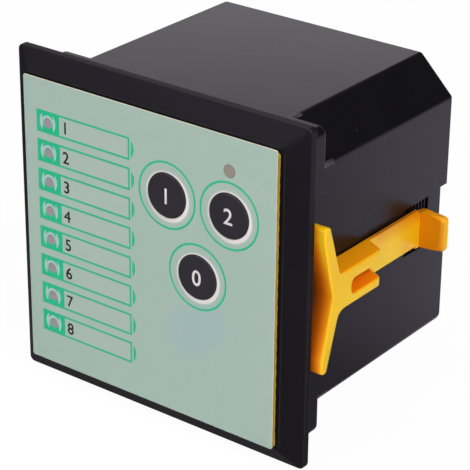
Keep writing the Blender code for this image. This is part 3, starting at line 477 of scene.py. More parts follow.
@dataclass(frozen=True)
class AmberPlastic(Finish):
    """The clips' slightly translucent yellow moulding, with painted shade where light falls less.

    Faces turned to the front or down, the arm's top and rear, faces turned up and the fork's gap carry
    painted shade in deeper orange. The bar's hollow front carries painted shade from yellow at its outer
    edge to brown behind the frame's rim. A pair of places says where an effect begins and where it is full.
    """

    name: str = "clip_yellow"
    bright: Colour = (236, 195, 13)
    hazy: Colour = (230, 183, 8)
    # Painted shade colours for faces where light falls less, faces turned up, the arm's top and the fork's
    # gap.
    painted_shade: Colour = (212, 104, 0)
    painted_top_shade: Colour = (248, 160, 8)
    painted_arm_top_shade: Colour = (194, 118, 12)
    painted_gap_shade: Colour = (226, 104, 0)
    speck: Colour = (150, 96, 20)
    # Painted shade on the bar's hollow front, from yellow to brown.
    hollow: tuple[tuple[float, Colour], ...] = (
        (0.0, (250, 195, 23)), (0.18, (246, 152, 11)), (0.35, (226, 120, 8)),
        (0.51, (194, 92, 4)), (0.69, (160, 76, 8)), (0.9, (98, 48, 6)))
    roughness: float = 0.36
    inner: float = 44.0
    thickness: float = 6.8
    arm: float = 1.3
    arm_start: Pair = (28.0, 34.0)
    arm_top: Pair = (2.0, 6.0)
    arm_rear: Pair = (40.0, 49.0)
    centre: float = 0.3
    gap_middle: float = 21.8
    gap_half_length: float = 8.5
    gap_half_height: float = 2.2
    tab: Pair = (50.0, 51.0)
    bar_front: Pair = (6.5, 5.5)
    bar_back: Pair = (6.0, 9.0)
    bar_rise: Pair = (5.0, 18.0)
    open_end: float = 0.3

    def dress(self, sheet: NodeSheet) -> None:
        """Lay haze, painted shade and specks over the plastic, and let some light pass through it.

        Args:
            sheet: The material's nodes.
        """
        flow = sheet.noise(0.11, roughness=0.55, place=sheet.stretched((1.0, 0.6, 1.4)))
        haze = (flow * 2.4 - 0.8).clamped()
        specks = sheet.specks(per_mm=0.5, size=0.05, share=0.03)
        colour = sheet.layered(self.hazy, (haze, self.bright), *self._painted_shades(sheet), (specks, self.speck))
        roughness = sheet.ranged(haze, self.roughness - 0.05, self.roughness + 0.06)
        sheet.set(Base_Color=colour, Roughness=roughness, Specular_IOR_Level=0.35, Subsurface_Weight=0.35,
                  Subsurface_Radius=(1.0, 0.4, 0.06), Subsurface_Scale=1.6 * MM)
        sheet.raise_by(sheet.noise(3.0, detail=2.0), 0.01)

    def _painted_shades(self, sheet: NodeSheet) -> Iterator[Layer]:
        """Give the painted shade: deeper colours where light falls less on the clip.

        Args:
            sheet: The material's nodes.

        Returns:
            The layers in their order.
        """
        facing = sheet.node("ShaderNodeAttribute", {"attribute_name": FACING_LAYER}, output="Vector")
        _, facing_back, facing_up = sheet.parts(facing)
        across, back, up = sheet.parts(sheet.place())
        front = (-facing_back).clamped()
        side = abs(across) - self.inner
        on_arm = (side - self.arm - 0.2).inside(0.3) * back.ramp(*self.arm_start)
        # Painted shade on faces turned to the front or down, more on the tab, and on the arm's top and rear.
        depth = front * 0.3 + back.ramp(*self.tab) * front * 0.4 + (-facing_up).clamped() * 0.3
        arm_shade = up.ramp(*self.arm_top) * 0.6 + back.ramp(*self.arm_rear) * 0.25
        yield (depth + on_arm * arm_shade).clamped(), self.painted_shade
        # Painted shade on faces turned up, darker on the arm.
        yield facing_up.clamped() * back.ramp(*self.bar_back), sheet.mixed(on_arm, self.painted_top_shade, self.painted_arm_top_shade)
        # Painted shade in the fork's gap, fading away from the wall.
        gap = (abs(back - self.gap_middle) - self.gap_half_length).most(
            abs(up - self.centre) - self.gap_half_height).most(side - self.thickness + 0.35)
        yield gap.inside(0.3) * (1.05 - side * 0.07), self.painted_gap_shade
        # Painted shade on the bar's hollow front: darkest next to the case wall, lighter outwards and
        # towards the top end.
        stops = [(place, linear(shade)) for place, shade in self.hollow]
        shade_position = 1 - side / self.thickness - up.ramp(*self.bar_rise) * self.open_end
        yield ((front * 1.3).clamped() * back.ramp(*self.bar_front),
               sheet.node("ShaderNodeValToRGB", {"stops": stops}, {"Fac": shade_position}))


@dataclass(frozen=True)
class PlainPlastic(Finish):
    """An even plastic or lacquer for the pieces inside, with a fine grain."""

    colour: Colour
    roughness: float = 0.45

    def dress(self, sheet: NodeSheet) -> None:
        """Vary the colour and the gloss a little.

        Args:
            sheet: The material's nodes.
        """
        cloud = sheet.noise(0.3)
        sheet.set(Base_Color=sheet.mixed(cloud, toned(self.colour, 0.8), self.colour),
                  Roughness=sheet.ranged(cloud, self.roughness - 0.06, self.roughness + 0.06))
        sheet.raise_by(sheet.noise(4.0, detail=2.0), 0.01)


@dataclass(frozen=True)
class PlatedMetal(Finish):
    """Zinc or nickel plate with fine turning marks and dull spots."""

    colour: Colour = (196, 196, 192)
    roughness: float = 0.28

    def dress(self, sheet: NodeSheet) -> None:
        """Lay dull clouds and fine lines over the metal.

        Args:
            sheet: The material's nodes.
        """
        cloud = sheet.noise(0.9, detail=4.0, roughness=0.6)
        lines = sheet.noise(2.0, detail=2.0, place=sheet.stretched((6.0, 0.6, 6.0)))
        sheet.set(Base_Color=sheet.mixed(cloud, toned(self.colour, 0.72), self.colour), Metallic=1.0,
                  Roughness=sheet.ranged(cloud, self.roughness - 0.08, self.roughness + 0.16))
        sheet.raise_by(lines, 0.01)


@dataclass(frozen=True)
class SolderMask(Finish):
    """A circuit board's green lacquer over fine copper tracks."""

    name: str = "board_lacquer"
    mask: Colour = (18, 74, 44)
    track: Colour = (34, 112, 66)

    def dress(self, sheet: NodeSheet) -> None:
        """Lay the tracks along the borders of loose cells.

        Args:
            sheet: The material's nodes.
        """
        inputs = {"Vector": sheet.place(), "Scale": 0.28, "Randomness": 0.6}
        tracks = sheet.node("ShaderNodeTexVoronoi", {"feature": "DISTANCE_TO_EDGE"}, inputs)
        on_track = (tracks - 0.08).inside(0.03)
        sheet.set(Base_Color=sheet.mixed(on_track, self.mask, self.track), Roughness=0.3)
        sheet.raise_by(on_track, 0.03)


@dataclass(frozen=True)
class Spot:
    """A point of the flat print, with its distances to the shapes drawn there."""

    across: Wire
    up: Wire

    def box(self, left: float, right: float, height: float) -> Wire:
        """Return the distance to a box's outline, negative inside."""
        sideways = abs(self.across - (left + right) / 2) - (right - left) / 2
        return sideways.most(abs(self.up) - height / 2)

    def circle(self, centre: Pair, radius: float) -> Wire:
        """Return the distance to a circle, negative inside."""
        aside, above = self.across - centre[0], self.up - centre[1]
        return (aside * aside + above * above).root() - radius


@dataclass(frozen=True)
class FrontPrint(Finish):
    """The overlay's print: lamp rows with their green blocks, key rings and lamp windows, with a painted
    highlight and a painted shadow at each lamp window.
    """

    rows: tuple[float, ...]
    lamp_x: float
    mode_lamp: Pair
    keys: tuple[Pair, ...]
    block_left: float = -37.2
    block_right: float = -29.25
    row_right: float = -5.2
    row_height: float = 6.4
    line: float = 0.58
    window_radius: float = 1.42
    window_drop: float = 0.22
    window_highlight: float = 2.02
    highlight_rise: Pair = (-1.4, 0.6)
    mode_radius: float = 1.74
    bracket_reach: float = 2.75
    bracket_chord: float = 1.85
    bracket_radius: float = 3.4
    end_reach: float = -3.75
    end_chord: float = -4.75
    key_ring: float = 9.1
    white_ring: float = 6.95
    white_shift: Pair = (0.22, -0.32)
    halo: float = 0.25
    cool_patch: Pair = (16.3, -15.0)
    cool_slant: Pair = (0.79, 0.61)
    cool_size: Pair = (12.5, 8.0)
    base: Colour = (161, 185, 168)
    cloud_colour: Colour = (156, 181, 169)
    warm_colour: Colour = (173, 184, 166)
    cool_colour: Colour = (148, 175, 186)
    field_colour: Colour = (165, 184, 170)
    green: Colour = (8, 182, 130)
    # Pale arcs of the print, and also the painted highlight round each lamp window.
    pale: Colour = (160, 194, 184)
    window: Colour = (145, 142, 142)
    blush: Colour = (178, 130, 138)
    shadow: Colour = (70, 84, 78)
    white: Colour = (226, 222, 216)
    mode_window: Colour = (143, 135, 121)
    mode_rim: Colour = (96, 98, 92)

    def dress(self, sheet: NodeSheet) -> None:
        """Print the rows, the windows and the rings over the film's ground.

        Args:
            sheet: The material's nodes.
        """
        across, _, up = sheet.parts(sheet.place())
        whole = Spot(across, up)
        column_height = self.rows[0] - self.rows[-1]
        row = Spot(across, (up - self.rows[0]).repeated(column_height / (len(self.rows) - 1)))
        in_column = Spot(across, up - (self.rows[0] + self.rows[-1]) / 2).box(
            self.block_left - 1.0, self.end_reach + 1.0, column_height + self.row_height + 1.0).inside()
        tint = (sheet.noise(0.5, detail=2.0) * 3.0 - 1.5).clamped() * 0.45
        glass = sheet.mixed(tint, self.window, self.blush)
        rows = ((mask * in_column, colour) for mask, colour in self._row_layers(row, glass))
        layers = (*self._clouds(sheet, whole), *rows, *self._mode_layers(whole), *self._key_layers(whole))
        sheen = sheet.noise(0.08, detail=2.0)
        sheet.set(Base_Color=sheet.layered(self.base, *layers), Roughness=sheet.ranged(sheen, 0.34, 0.46),
                  Specular_IOR_Level=0.4)
        sheet.raise_by(sheet.noise(1.6, roughness=0.6), 0.012)

    def _clouds(self, sheet: NodeSheet, whole: Spot) -> Iterator[Layer]:
        """Give the ground's faint clouds and its cool patch.

        Args:
            sheet: The material's nodes.
            whole: The place on the print.

        Returns:
            The layers in their order.
        """
        yield sheet.noise(0.045, roughness=0.6) * 0.8, self.cloud_colour
        yield (sheet.noise(0.12, roughness=0.6) * 2.5 - 1.1).clamped() * 0.35, self.warm_colour
        aside, above = whole.across - self.cool_patch[0], whole.up - self.cool_patch[1]
        run, rise = self.cool_slant
        along = (aside * run + above * rise) / self.cool_size[0]
        athwart = (above * run - aside * rise) / self.cool_size[1]
        yield (1.2 - (along * along + athwart * athwart)).clamped() * 0.4, self.cool_colour

    def _row_layers(self, row: Spot, glass: Wire) -> Iterator[Layer]:
        """Give a row's field, its green outline, block and cap, its pale arcs, a painted highlight on the
        upper half of the ring round its lamp window, the window and a painted shadow inside the window's
        top.

        Args:
            row: The place in the nearest row.
            glass: The lamp window's colour.

        Returns:
            The layers in their order.
        """
        field = row.box(self.block_left, self.row_right, self.row_height)
        yield field.inside() * 0.8, self.field_colour
        outline = (abs(field + self.line / 2) - self.line / 2).inside()
        block = row.box(self.block_left, self.block_right, self.row_height).inside()
        cap = row.circle((self.end_reach - self.bracket_radius, 0.0), self.bracket_radius)
        yield outline.most(block).most(cap.most(self.end_chord - row.across).inside()), self.green
        lamp = Spot(abs(row.across - self.lamp_x), row.up)
        bow = lamp.circle((self.bracket_reach - self.bracket_radius, 0.0), self.bracket_radius)
        # Painted highlight: the upper half of a pale ring round the lamp window.
        ring = lamp.circle((0.0, 0.0), self.window_highlight).inside(0.15) * row.up.ramp(*self.highlight_rise)
        yield bow.most(self.bracket_chord - lamp.across).inside().most(ring), self.pale
        window = row.circle((self.lamp_x, -self.window_drop), self.window_radius)
        yield window.inside(0.2), glass
        shadow = (abs(window + 0.12) - 0.12).inside(0.15) * (row.up / 1.2).clamped()
        yield shadow * 0.6, self.shadow

    def _mode_layers(self, whole: Spot) -> Iterator[Layer]:
        """Give the single lamp window and its rim.

        Args:
            whole: The place on the print.

        Returns:
            The layers in their order.
        """
        distance = whole.circle(self.mode_lamp, self.mode_radius)
        yield distance.inside(0.15), self.mode_window
        yield (abs(distance) - 0.1).inside(0.1) * 0.7, self.mode_rim

    def _key_layers(self, whole: Spot) -> Iterator[Layer]:
        """Give a green ring, a soft halo and a white disc for each key.

        Args:
            whole: The place on the print.

        Returns:
            The layers in their order.
        """
        for x, z in self.keys:
            yield (abs(whole.circle((x, z), self.key_ring)) - self.line / 2).inside(), self.green
            shifted = (x + self.white_shift[0], z + self.white_shift[1])
            yield whole.circle(shifted, self.white_ring + self.halo).inside(0.5) * 0.35, self.white
            yield whole.circle(shifted, self.white_ring).inside(0.2), self.white


def linked(name: str, data: ID) -> Object:
    """Return a new object in the scene that shows some data.

    Args:
        name: The object's name.
        data: A mesh, curve, light or camera.

    Returns:
        The object.
    """
    made = bpy.data.objects.new(name, data)
    bpy.context.scene.collection.objects.link(made)
    return made


def new_piece(name: str, shape: BMesh, materials: Sequence[Material]) -> Object:
    """Turn a bmesh into an object at the origin, and free the bmesh.

    Args:
        name: The piece's name.
        shape: The mesh in scene metres.
        materials: The piece's material slots.

    Returns:
        The new object.
    """
    mesh = bpy.data.meshes.new(name)
    shape.to_mesh(mesh)
    shape.free()
    for material in materials:
        mesh.materials.append(material)
    return linked(name, mesh)


@contextmanager
def edited(mesh: Mesh) -> Iterator[BMesh]:
    """Open a mesh for changes, and write them back at the end.

    Args:
        mesh: The mesh to change.

    Yields:
        Its bmesh, which is freed at the end.
    """
    shape = bmesh.new()
    shape.from_mesh(mesh)
    yield shape
    shape.to_mesh(mesh)
    shape.free()


def merge(shape: BMesh, faces: Optional[Sequence[BMFace]] = None) -> None:
    """Merge a bmesh's coinciding corners, or only those of some faces."""
    corners = shape.verts if faces is None else [corner for face in faces for corner in face.verts]
    bmesh.ops.remove_doubles(shape, verts=list(dict.fromkeys(corners)), dist=MERGE_DISTANCE)


def bevel(shape: BMesh, edges: Sequence[BMEdge], width: float, segments: int) -> list[BMFace]:
    """Round some edges by a width in millimetres, and return the new faces.

    Args:
        shape: The mesh.
        edges: The edges to round.
        width: The rounding in millimetres.
        segments: Faces across each rounded edge.

    Returns:
        The new faces.
    """
    made = bmesh.ops.bevel(shape, geom=edges, offset=width * MM, offset_type="OFFSET", affect="EDGES",
                           segments=segments, profile=0.5, material=-1)
    return made["faces"]


def evaluated(piece: Object) -> Mesh:
    """Return a piece's mesh as its modifiers or its curve make it.

    Args:
        piece: A mesh or text object.

    Returns:
        A new mesh.
    """
    bpy.context.view_layer.update()
    graph = bpy.context.evaluated_depsgraph_get()
    return bpy.data.meshes.new_from_object(piece.evaluated_get(graph))


def settle(piece: Object) -> None:
    """Apply a piece's modifiers for good.

    Args:
        piece: The piece, which keeps its name and materials.
    """
    mesh = evaluated(piece)
    piece.modifiers.clear()
    piece.data = mesh


def cut_out(piece: Object, other: Object) -> None:
    """Cut another mesh out of a piece for good, and remove the other mesh.

    Args:
        piece: The piece that is cut.
        other: The object that cuts it.
    """
    configured(piece.modifiers.new("cut", "BOOLEAN"), operation="DIFFERENCE", object=other)
    settle(piece)
    bpy.data.objects.remove(other)


def join(piece: Object, other: Object, slot: int) -> None:
    """Add another mesh to a piece's mesh, and remove the other.

    Args:
        piece: The piece that grows.
        other: The object whose mesh it takes in.
        slot: The piece's material slot for the added faces.
    """
    with edited(piece.data) as shape:
        known = len(shape.faces)
        shape.from_mesh(other.data)
        shape.faces.ensure_lookup_table()
        added = shape.faces[known:]
        for face in added:
            face.material_index = slot
        merge(shape, added)
    bpy.data.objects.remove(other)


def shade_round(piece: Object, angle: float = 35.0) -> None:
    """Shade a piece smooth below an angle in degrees, with flat faces kept flat.

    Args:
        piece: The piece.
        angle: The sharpest edge that still looks smooth.
    """
    piece.data.shade_smooth()
    piece.data.set_sharp_from_angle(angle=math.radians(angle))
    piece.modifiers.new("even_shading", "WEIGHTED_NORMAL").keep_sharp = True


Rules = Sequence[tuple[Callable[[Vector], bool], float]]


@dataclass
class Rounder:
    """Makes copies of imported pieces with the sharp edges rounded."""

    panel: Panel
    sharp: float = 30.0
    flat: float = 0.5
    idle_width: float = 0.1

    def copy(self, node: str, name: str, materials: Sequence[Material], rules: Rules = (),
             segments: int = 3, move: Optional[Callable[[Vector], Vector]] = None) -> Object:
        """Copy a node and round its sharp outer edges.

        Args:
            node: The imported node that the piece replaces.
            name: The new piece's name.
            materials: The surface, and the rounded edges' material if it differs.
            rules: Tests of an edge's ends, each with a width in millimetres. The first that both
                ends pass gives the edge its width, and an edge without one stays sharp.
            segments: Faces across each rounded edge.
            move: Gives each corner of the mesh a new place in millimetres before the rounding.

        Returns:
            The new piece, riding where the node rides.
        """
        source = bpy.data.objects[node]
        shape = bmesh.new()
        shape.from_mesh(source.data)
        if move is not None:
            for corner in shape.verts:
                corner.co = self.panel.place(*move(self.panel.millimetres(corner.co)))
        merge(shape)
        bmesh.ops.dissolve_limit(shape, angle_limit=math.radians(self.flat), verts=shape.verts,
                                 edges=shape.edges)
        for face in shape.faces:
            face.material_index = 0
        widest = self._mark(shape, rules)
        piece = new_piece(name, shape, materials)
        configured(piece.modifiers.new("rounded_edges", "BEVEL"), limit_method="WEIGHT", width=widest * MM,
                   segments=segments, use_clamp_overlap=False, material=len(materials) - 1)
        shade_round(piece)
        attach(piece, source["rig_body"])
        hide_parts(node)
        return piece

    def _mark(self, shape: BMesh, rules: Rules) -> float:
        """Write each sharp outer edge's share of the widest rounding.

        Args:
            shape: The mesh to mark.
            rules: The tests and their widths.

        Returns:
            The widest rounding in millimetres, or the idle width if no edge has one.
        """
        weight = shape.edges.layers.float.new("bevel_weight_edge")
        widths = {}
        for edge in shape.edges:
            if edge.is_manifold and edge.is_convex and edge.calc_face_angle() >= math.radians(self.sharp):
                ends = [self.panel.millimetres(corner.co) for corner in edge.verts]
                widths[edge] = next((width for test, width in rules if all(map(test, ends))), 0.0)
        widest = max(widths.values(), default=0.0) or self.idle_width
        for edge, width in widths.items():
            edge[weight] = width / widest
        return widest


@dataclass
class FrontFrame:
    """The moulded front frame with its sloping border."""

    panel: Panel
    rounder: Rounder
    rim_front_round: float = 0.25
    rim_back_round: float = 0.3
    plateau_round: float = 0.25
    border: float = 40.0
    plateau: float = -5.0
    rim_back: float = -0.5

    def build(self, slot: str) -> list[Object]:
        """Build the frame.

        Args:
            slot: The record's material slot; not used.

        Returns:
            The new pieces.
        """
        surface = MouldedPlastic("frame_black", (15, 14, 18), 0.5, grain=0.02, specular=0.18, dust=0.05)
        worn = MouldedPlastic("frame_edge", (18, 17, 21), 0.42, specular=0.18, wear=0.08)
        materials = [surface.material(self.panel), worn.material(self.panel)]
        rules = ((lambda end: self._outer(end) and end.y > NEAR, 0.0),
                 (lambda end: self._outer(end) and end.y < self.plateau, self.plateau_round),
                 (lambda end: self._outer(end) and end.y > self.rim_back, self.rim_back_round),
                 (self._outer, self.rim_front_round))
        frame = self.rounder.copy("bezel", "front_frame", materials, rules)
        return [frame]

    def _outer(self, end: Vector) -> bool:
        """Say whether a point lies on the border or the rim."""
        return max(abs(end.x), abs(end.z)) > self.border


@dataclass
class Overlay:
    """The printed film with its key domes, the numbers on it and the adhesive sheet below."""

    panel: Panel
    rounder: Rounder
    lamp_count: int = 8
    key_names: tuple[str, ...] = ("manual", "auto", "off")
    key_marks: tuple[str, ...] = ("1", "2", "0")
    dome_radius: float = 6.3
    dome_crown: float = 5.95
    dome_wall: float = 0.12
    dome_steps: int = 96
    crown_run: float = 0.25
    crown_drop: float = 0.06
    foot_run: float = 0.1
    foot_rise: float = 0.2
    wall_run: float = 0.4
    film_front: float = -7.65
    film_corner: float = 0.6
    film_edge: float = 0.1
    number_height: float = 3.4
    number_x: float = -28.4
    mark_height: float = 4.4
    digit_share: float = 0.71
    ink: float = 0.03
    bold: float = 0.06
    adhesive_inset: float = 1.0
    adhesive_border: float = 40.0
    adhesive_cuts: int = 96
    adhesive_reach: float = 38.0
    adhesive_wave: float = 0.05
    adhesive_middle: float = 1.6
    adhesive_waves: tuple[Point, ...] = ((1.0, 1.7, 0.0), (0.7, 4.3, 1.0), (0.4, 9.1, 0.0))

    def build(self, film_slot: str, adhesive_slot: str) -> list[Object]:
        """Build the overlay.

        Args:
            film_slot: The record's slot of the film; not used.
            adhesive_slot: The record's slot of the adhesive sheet; not used.

        Returns:
            The new pieces.
        """
        lamps = [self.panel.middle(f"status_led_{index + 1}") for index in range(self.lamp_count)]
        mode = self.panel.middle("mode_led")
        keys = [self.panel.middle(f"key_stem_{name}") for name in self.key_names]
        print_work = FrontPrint("front_print", tuple(lamp.z for lamp in lamps), lamps[0].x, (mode.x, mode.z),
                                tuple((key.x, key.z) for key in keys))
        printed = print_work.material(self.panel)
        edge = PlainPlastic("film_edge", (210, 214, 188), 0.4).material(self.panel)
        ink = PlainPlastic("black_ink", (14, 15, 17), 0.45).material(self.panel)
        low, high = self.panel.span("overlay_film")
        domes = [self._dome(name, mark, key, low.y + self.ink, high.y)
                 for name, mark, key in zip(self.key_names, self.key_marks, keys)]
        film = self._film(keys, low, high, [printed, edge])
        numbers = self._numbers(lamps, ink)
        adhesive = self._adhesive()
        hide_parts("overlay_film")
        return [film, numbers, adhesive, *domes]

    def _film(self, keys: Sequence[Vector], low: Vector, high: Vector,
              materials: Sequence[Material]) -> Object:
        """Build the flat film with a round hole for each key dome.

        Args:
            keys: The keys' places.
            low: The lowest corner of the film with its domes.
            high: The film's highest corner.
            materials: The print, and the film's cut edge.

        Returns:
            The film.
        """
        piece = new_piece("printed_film", self._plate(low, high), materials)
        cutters = bmesh.new()
        front, back = self.film_front - 1.0, high.y + 1.0
        turn = Matrix.Rotation(math.radians(90), 4, "X")
        for key in keys:
            middle = Matrix.Translation(self.panel.place(key.x, (front + back) / 2, key.z))
            bmesh.ops.create_cone(cutters, cap_ends=True, segments=self.dome_steps, matrix=middle @ turn,
                                  radius1=self.dome_radius * MM, radius2=self.dome_radius * MM,
                                  depth=(back - front) * MM)
        cut_out(piece, new_piece("film_holes_guide", cutters, materials[:1]))
        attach(piece, "root")
        return piece

    def _plate(self, low: Vector, high: Vector) -> BMesh:
        """Build the film's flat sheet with round corners and a softened front edge.

        Args:
            low: The lowest corner of the film with its domes.
            high: The film's highest corner.

        Returns:
            The sheet, with its edge faces under the second material.
        """
        shape = bmesh.new()
        front = self.film_front
        size = Matrix.Diagonal(((high.x - low.x) * MM, (high.y - front) * MM, (high.z - low.z) * MM, 1.0))
        middle = self.panel.place((low.x + high.x) / 2, (front + high.y) / 2, (low.z + high.z) / 2)
        bmesh.ops.create_cube(shape, size=1.0, matrix=Matrix.Translation(middle) @ size)
        corners = [edge for edge in shape.edges if abs(edge.verts[0].co.y - edge.verts[1].co.y) > MM / 10]
        bevel(shape, corners, self.film_corner, segments=8)
        front_y = self.panel.place(0.0, front, 0.0).y
        rim = [edge for edge in shape.edges
               if all(abs(end.co.y - front_y) < MERGE_DISTANCE for end in edge.verts)]
        softened = set(bevel(shape, rim, self.film_edge, segments=2))
        for face in shape.faces:
            if face in softened or abs(face.normal.y) < 0.5:
                face.material_index = 1
        return shape

    def _dome(self, name: str, mark: str, key: Vector, crown: float, back: float) -> Object:
        """Build one embossed key dome with its number.

        Args:
            name: The key's name.
            mark: The number on it.
            key: The key's place.
            crown: The Y place of the dome's flat top.
            back: The Y place of the film's back.

        Returns:
            The dome.
        """
        foot = self.film_front - (self.film_front - crown) * self.foot_rise
        profile = [(0.0, crown), (self.dome_crown - self.crown_run, crown),
                   (self.dome_crown, crown + self.crown_drop), (self.dome_radius - self.foot_run, foot),
                   (self.dome_radius, self.film_front), (self.dome_radius, back), (self.dome_crown, back),
                   (self.dome_crown - self.wall_run, crown + self.dome_wall), (0.0, crown + self.dome_wall)]
        shape = bmesh.new()
        chain = [shape.verts.new(self.panel.place(key.x + radius, y, key.z)) for radius, y in profile]
        edges = [shape.edges.new(pair) for pair in zip(chain, chain[1:])]
        bmesh.ops.spin(shape, geom=chain + edges, cent=self.panel.place(key.x, 0.0, key.z),
                       axis=(0.0, 1.0, 0.0), angle=2 * math.pi, steps=self.dome_steps, use_merge=True)
        merge(shape)
        bmesh.ops.recalc_face_normals(shape, faces=shape.faces)
        disc = MouldedPlastic(f"key_print_{name}", (37, 36, 40), 0.42, grain=0.015, scuffs=0.15, dust=0.02,
                              specular=0.25)
        white = PlainPlastic(f"key_mark_{name}", (236, 234, 230), 0.4)
        piece = new_piece(f"key_dome_{name}", shape, [disc.material(self.panel), white.material(self.panel)])
        foot_of_mark = self.panel.place(key.x, crown, key.z - self.mark_height / 2)
        join(piece, self._number(mark, self.mark_height, foot_of_mark, "CENTER"), 1)
        shade_round(piece, angle=50.0)
        self.panel.place(key.x, self.film_front, key.z)
        self.panel.place(key.x, crown + self.dome_wall, key.z)
        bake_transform(piece)
        return piece

    def _numbers(self, lamps: Sequence[Vector], ink: Material) -> Object:
        """Build the plain numbers beside the lamp windows.

        Args:
            lamps: The lamps' places, from the top row down.
            ink: The numbers' material.

        Returns:
            The numbers as one piece.
        """
        whole = new_piece("row_numbers", bmesh.new(), [ink])
        for index, lamp in enumerate(lamps):
            foot = self.panel.place(self.number_x, self.film_front, lamp.z - self.number_height / 2)
            join(whole, self._number(str(index + 1), self.number_height, foot, "LEFT"), 0)
        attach(whole, "root")
        return whole

    def _number(self, text: str, height: float, foot: Vector, align: str) -> Object:
        """Build a number as a thin raised print that faces the front.

        Args:
            text: The digits.
            height: Their height in millimetres.
            foot: The scene point at the foot of the digits, on the surface that they lie on.
            align: Whether the foot is their "CENTER" or "LEFT".

        Returns:
            A mesh object in its place.
        """
        curve = configured(bpy.data.curves.new("digits", "FONT"), body=text, align_x=align, resolution_u=6,
                           size=height * MM / self.digit_share, extrude=self.ink * MM)
        letter = linked("digits", curve)
        mesh = evaluated(letter)
        bpy.data.objects.remove(letter)
        self._thicken(mesh)
        mesh.transform(Matrix.Translation(foot) @ Matrix.Rotation(math.radians(90), 4, "X"))
        return linked("digits_mesh", mesh)

    def _thicken(self, mesh: Mesh) -> None:
        """Move a number's outline outwards, so that its strokes are as heavy as the print's.

        Args:
            mesh: The number's mesh, flat on the XY plane.
        """
        with edited(mesh) as shape:
            merge(shape)
            moves = {}
            for corner in shape.verts:
                sides = (face.normal for face in corner.link_faces if abs(face.normal.z) < 0.5)
                moves[corner] = sum(sides, Vector()).normalized() * self.bold * MM
            for corner, move in moves.items():
                corner.co += move

    def _adhesive(self) -> Object:
        """Build the yellow adhesive sheet, set in at its top and left, with an uneven right edge.

        Returns:
            The sheet.
        """
        finish = PlainPlastic("adhesive_olive", (188, 152, 36), 0.5).material(self.panel)
        piece = self.rounder.copy("adhesive_sheet", "yellow_adhesive", [finish])
        edge_x = self.panel.span("adhesive_sheet")[1].x - NEAR
        with edited(piece.data) as shape:
            long_edges = [edge for edge in shape.edges if edge.calc_length() > self.adhesive_reach * MM
                          and all(self.panel.millimetres(end.co).x > edge_x for end in edge.verts)]
            bmesh.ops.subdivide_edges(shape, edges=long_edges, cuts=self.adhesive_cuts, use_grid_fill=True)
            for corner in shape.verts:
                place = self.panel.millimetres(corner.co)
                if place.x > edge_x and abs(place.z) < self.adhesive_reach:
                    wave = sum(height * math.sin(place.z * pace + start)
                               for height, pace, start in self.adhesive_waves)
                    corner.co.x -= (self.adhesive_middle + wave) * self.adhesive_wave * MM
                if place.z > self.adhesive_border:
                    corner.co.z -= self.adhesive_inset * MM
                if place.x < -self.adhesive_border:
                    corner.co.x += self.adhesive_inset * MM
        return piece


@dataclass
class RearHousing:
    """The rear case, its cover and the plug-in terminals."""

    panel: Panel
    rounder: Rounder
    wall: float = 43.7
    back: float = 69.4
    collar: float = 10.0
    chamfer: float = 10.3
    arc: float = 0.9
    long_round: float = 0.8
    rear_round: float = 0.5
    foot_round: float = 1.2
    ledge_round: float = 0.5
    window_front: float = 30.0
    window_round: float = 0.18
    rib_depth: float = 0.6
    rib_span: Pair = (48.0, 60.0)
    cover_rim: float = 69.0
    plug_front: float = 70.0
    small_round: float = 0.25

    def build(self) -> list[Object]:
        """Build the housing.

        Returns:
            The new pieces.
        """
        surface = MouldedPlastic("case_black", (11, 10, 13), 0.27, grain=0.006, grain_scale=2.5, scuffs=0.25,
                                 dust=0.1, specular=0.24, top_reflection=0.34)
        worn = MouldedPlastic("case_edge", (11, 10, 13), 0.27, grain=0.006, wear=0.55, specular=0.24)
        plate = MouldedPlastic("cover_black", (22, 22, 24), 0.42, grain=0.03)
        green = MouldedPlastic("terminal_green", (30, 128, 72), 0.4, grain=0.01, scuffs=0.2)
        case = self.rounder.copy("rear_case", "rear_shell",
                                 [surface.material(self.panel), worn.material(self.panel)], self._rules(),
                                 segments=5, move=self._square_up)
        cover = self.rounder.copy("rear_cover", "rear_plate", [plate.material(self.panel)],
                                  ((lambda end: end.y > self.cover_rim, self.small_round),))
        pieces = [case, cover]
        plastic = green.material(self.panel)
        for row in ("lower", "upper"):
            plug = self.rounder.copy(f"terminal_plug_{row}", f"plug_{row}", [plastic],
                                     ((lambda end: end.y > self.plug_front, self.small_round),))
            pieces.append(plug)
        return pieces

    def _rules(self) -> Rules:
        """Return the widths of the case's rear and long edges, its collar's and its side openings'.

        Returns:
            The tests and their widths.
        """
        turn = self.wall - self.chamfer
        return ((lambda end: self._rear(end) and end.z < NEAR - turn and abs(end.x) > turn - NEAR,
                 self.foot_round),
                (self._rear, self.rear_round),
                (lambda end: abs(end.y - self.collar) < NEAR, self.ledge_round),
                (self._on_long_edge, self.long_round),
                (lambda end: abs(end.x) > self.wall - NEAR and end.y > self.window_front, self.window_round),
                (lambda end: abs(end.x) > self.wall - self.rib_depth
                 and self.rib_span[0] < end.y < self.rib_span[1], self.window_round / 2))

    def _square_up(self, place: Vector) -> Vector:
        """Move a point of the small arcs along the case's long edges onto the edge that they cut off.

        Args:
            place: The point in millimetres.

        Returns:
            Its new place, which is the same for points away from the long edges.
        """
        turn = self.wall - self.chamfer
        for x, z in ((turn, self.wall), (self.wall, turn)):
            edge = Vector((math.copysign(x, place.x), place.y, math.copysign(z, place.z)))
            if (place - edge).length < self.arc:
                return edge
        return place

    def _on_long_edge(self, end: Vector) -> bool:
        """Say whether a point lies on one of the eight long edges of the case."""
        near = sorted((abs(end.x), abs(end.z)))
        return abs(near[0] - self.wall + self.chamfer) < NEAR and abs(near[1] - self.wall) < NEAR

    def _rear(self, end: Vector) -> bool:
        """Say whether a point lies on the outline of the case's rear end."""
        outline = max(abs(end.x), abs(end.z), (abs(end.x) + abs(end.z) + self.chamfer) / 2)
        return end.y > self.back - NEAR and outline > self.wall - 0.5


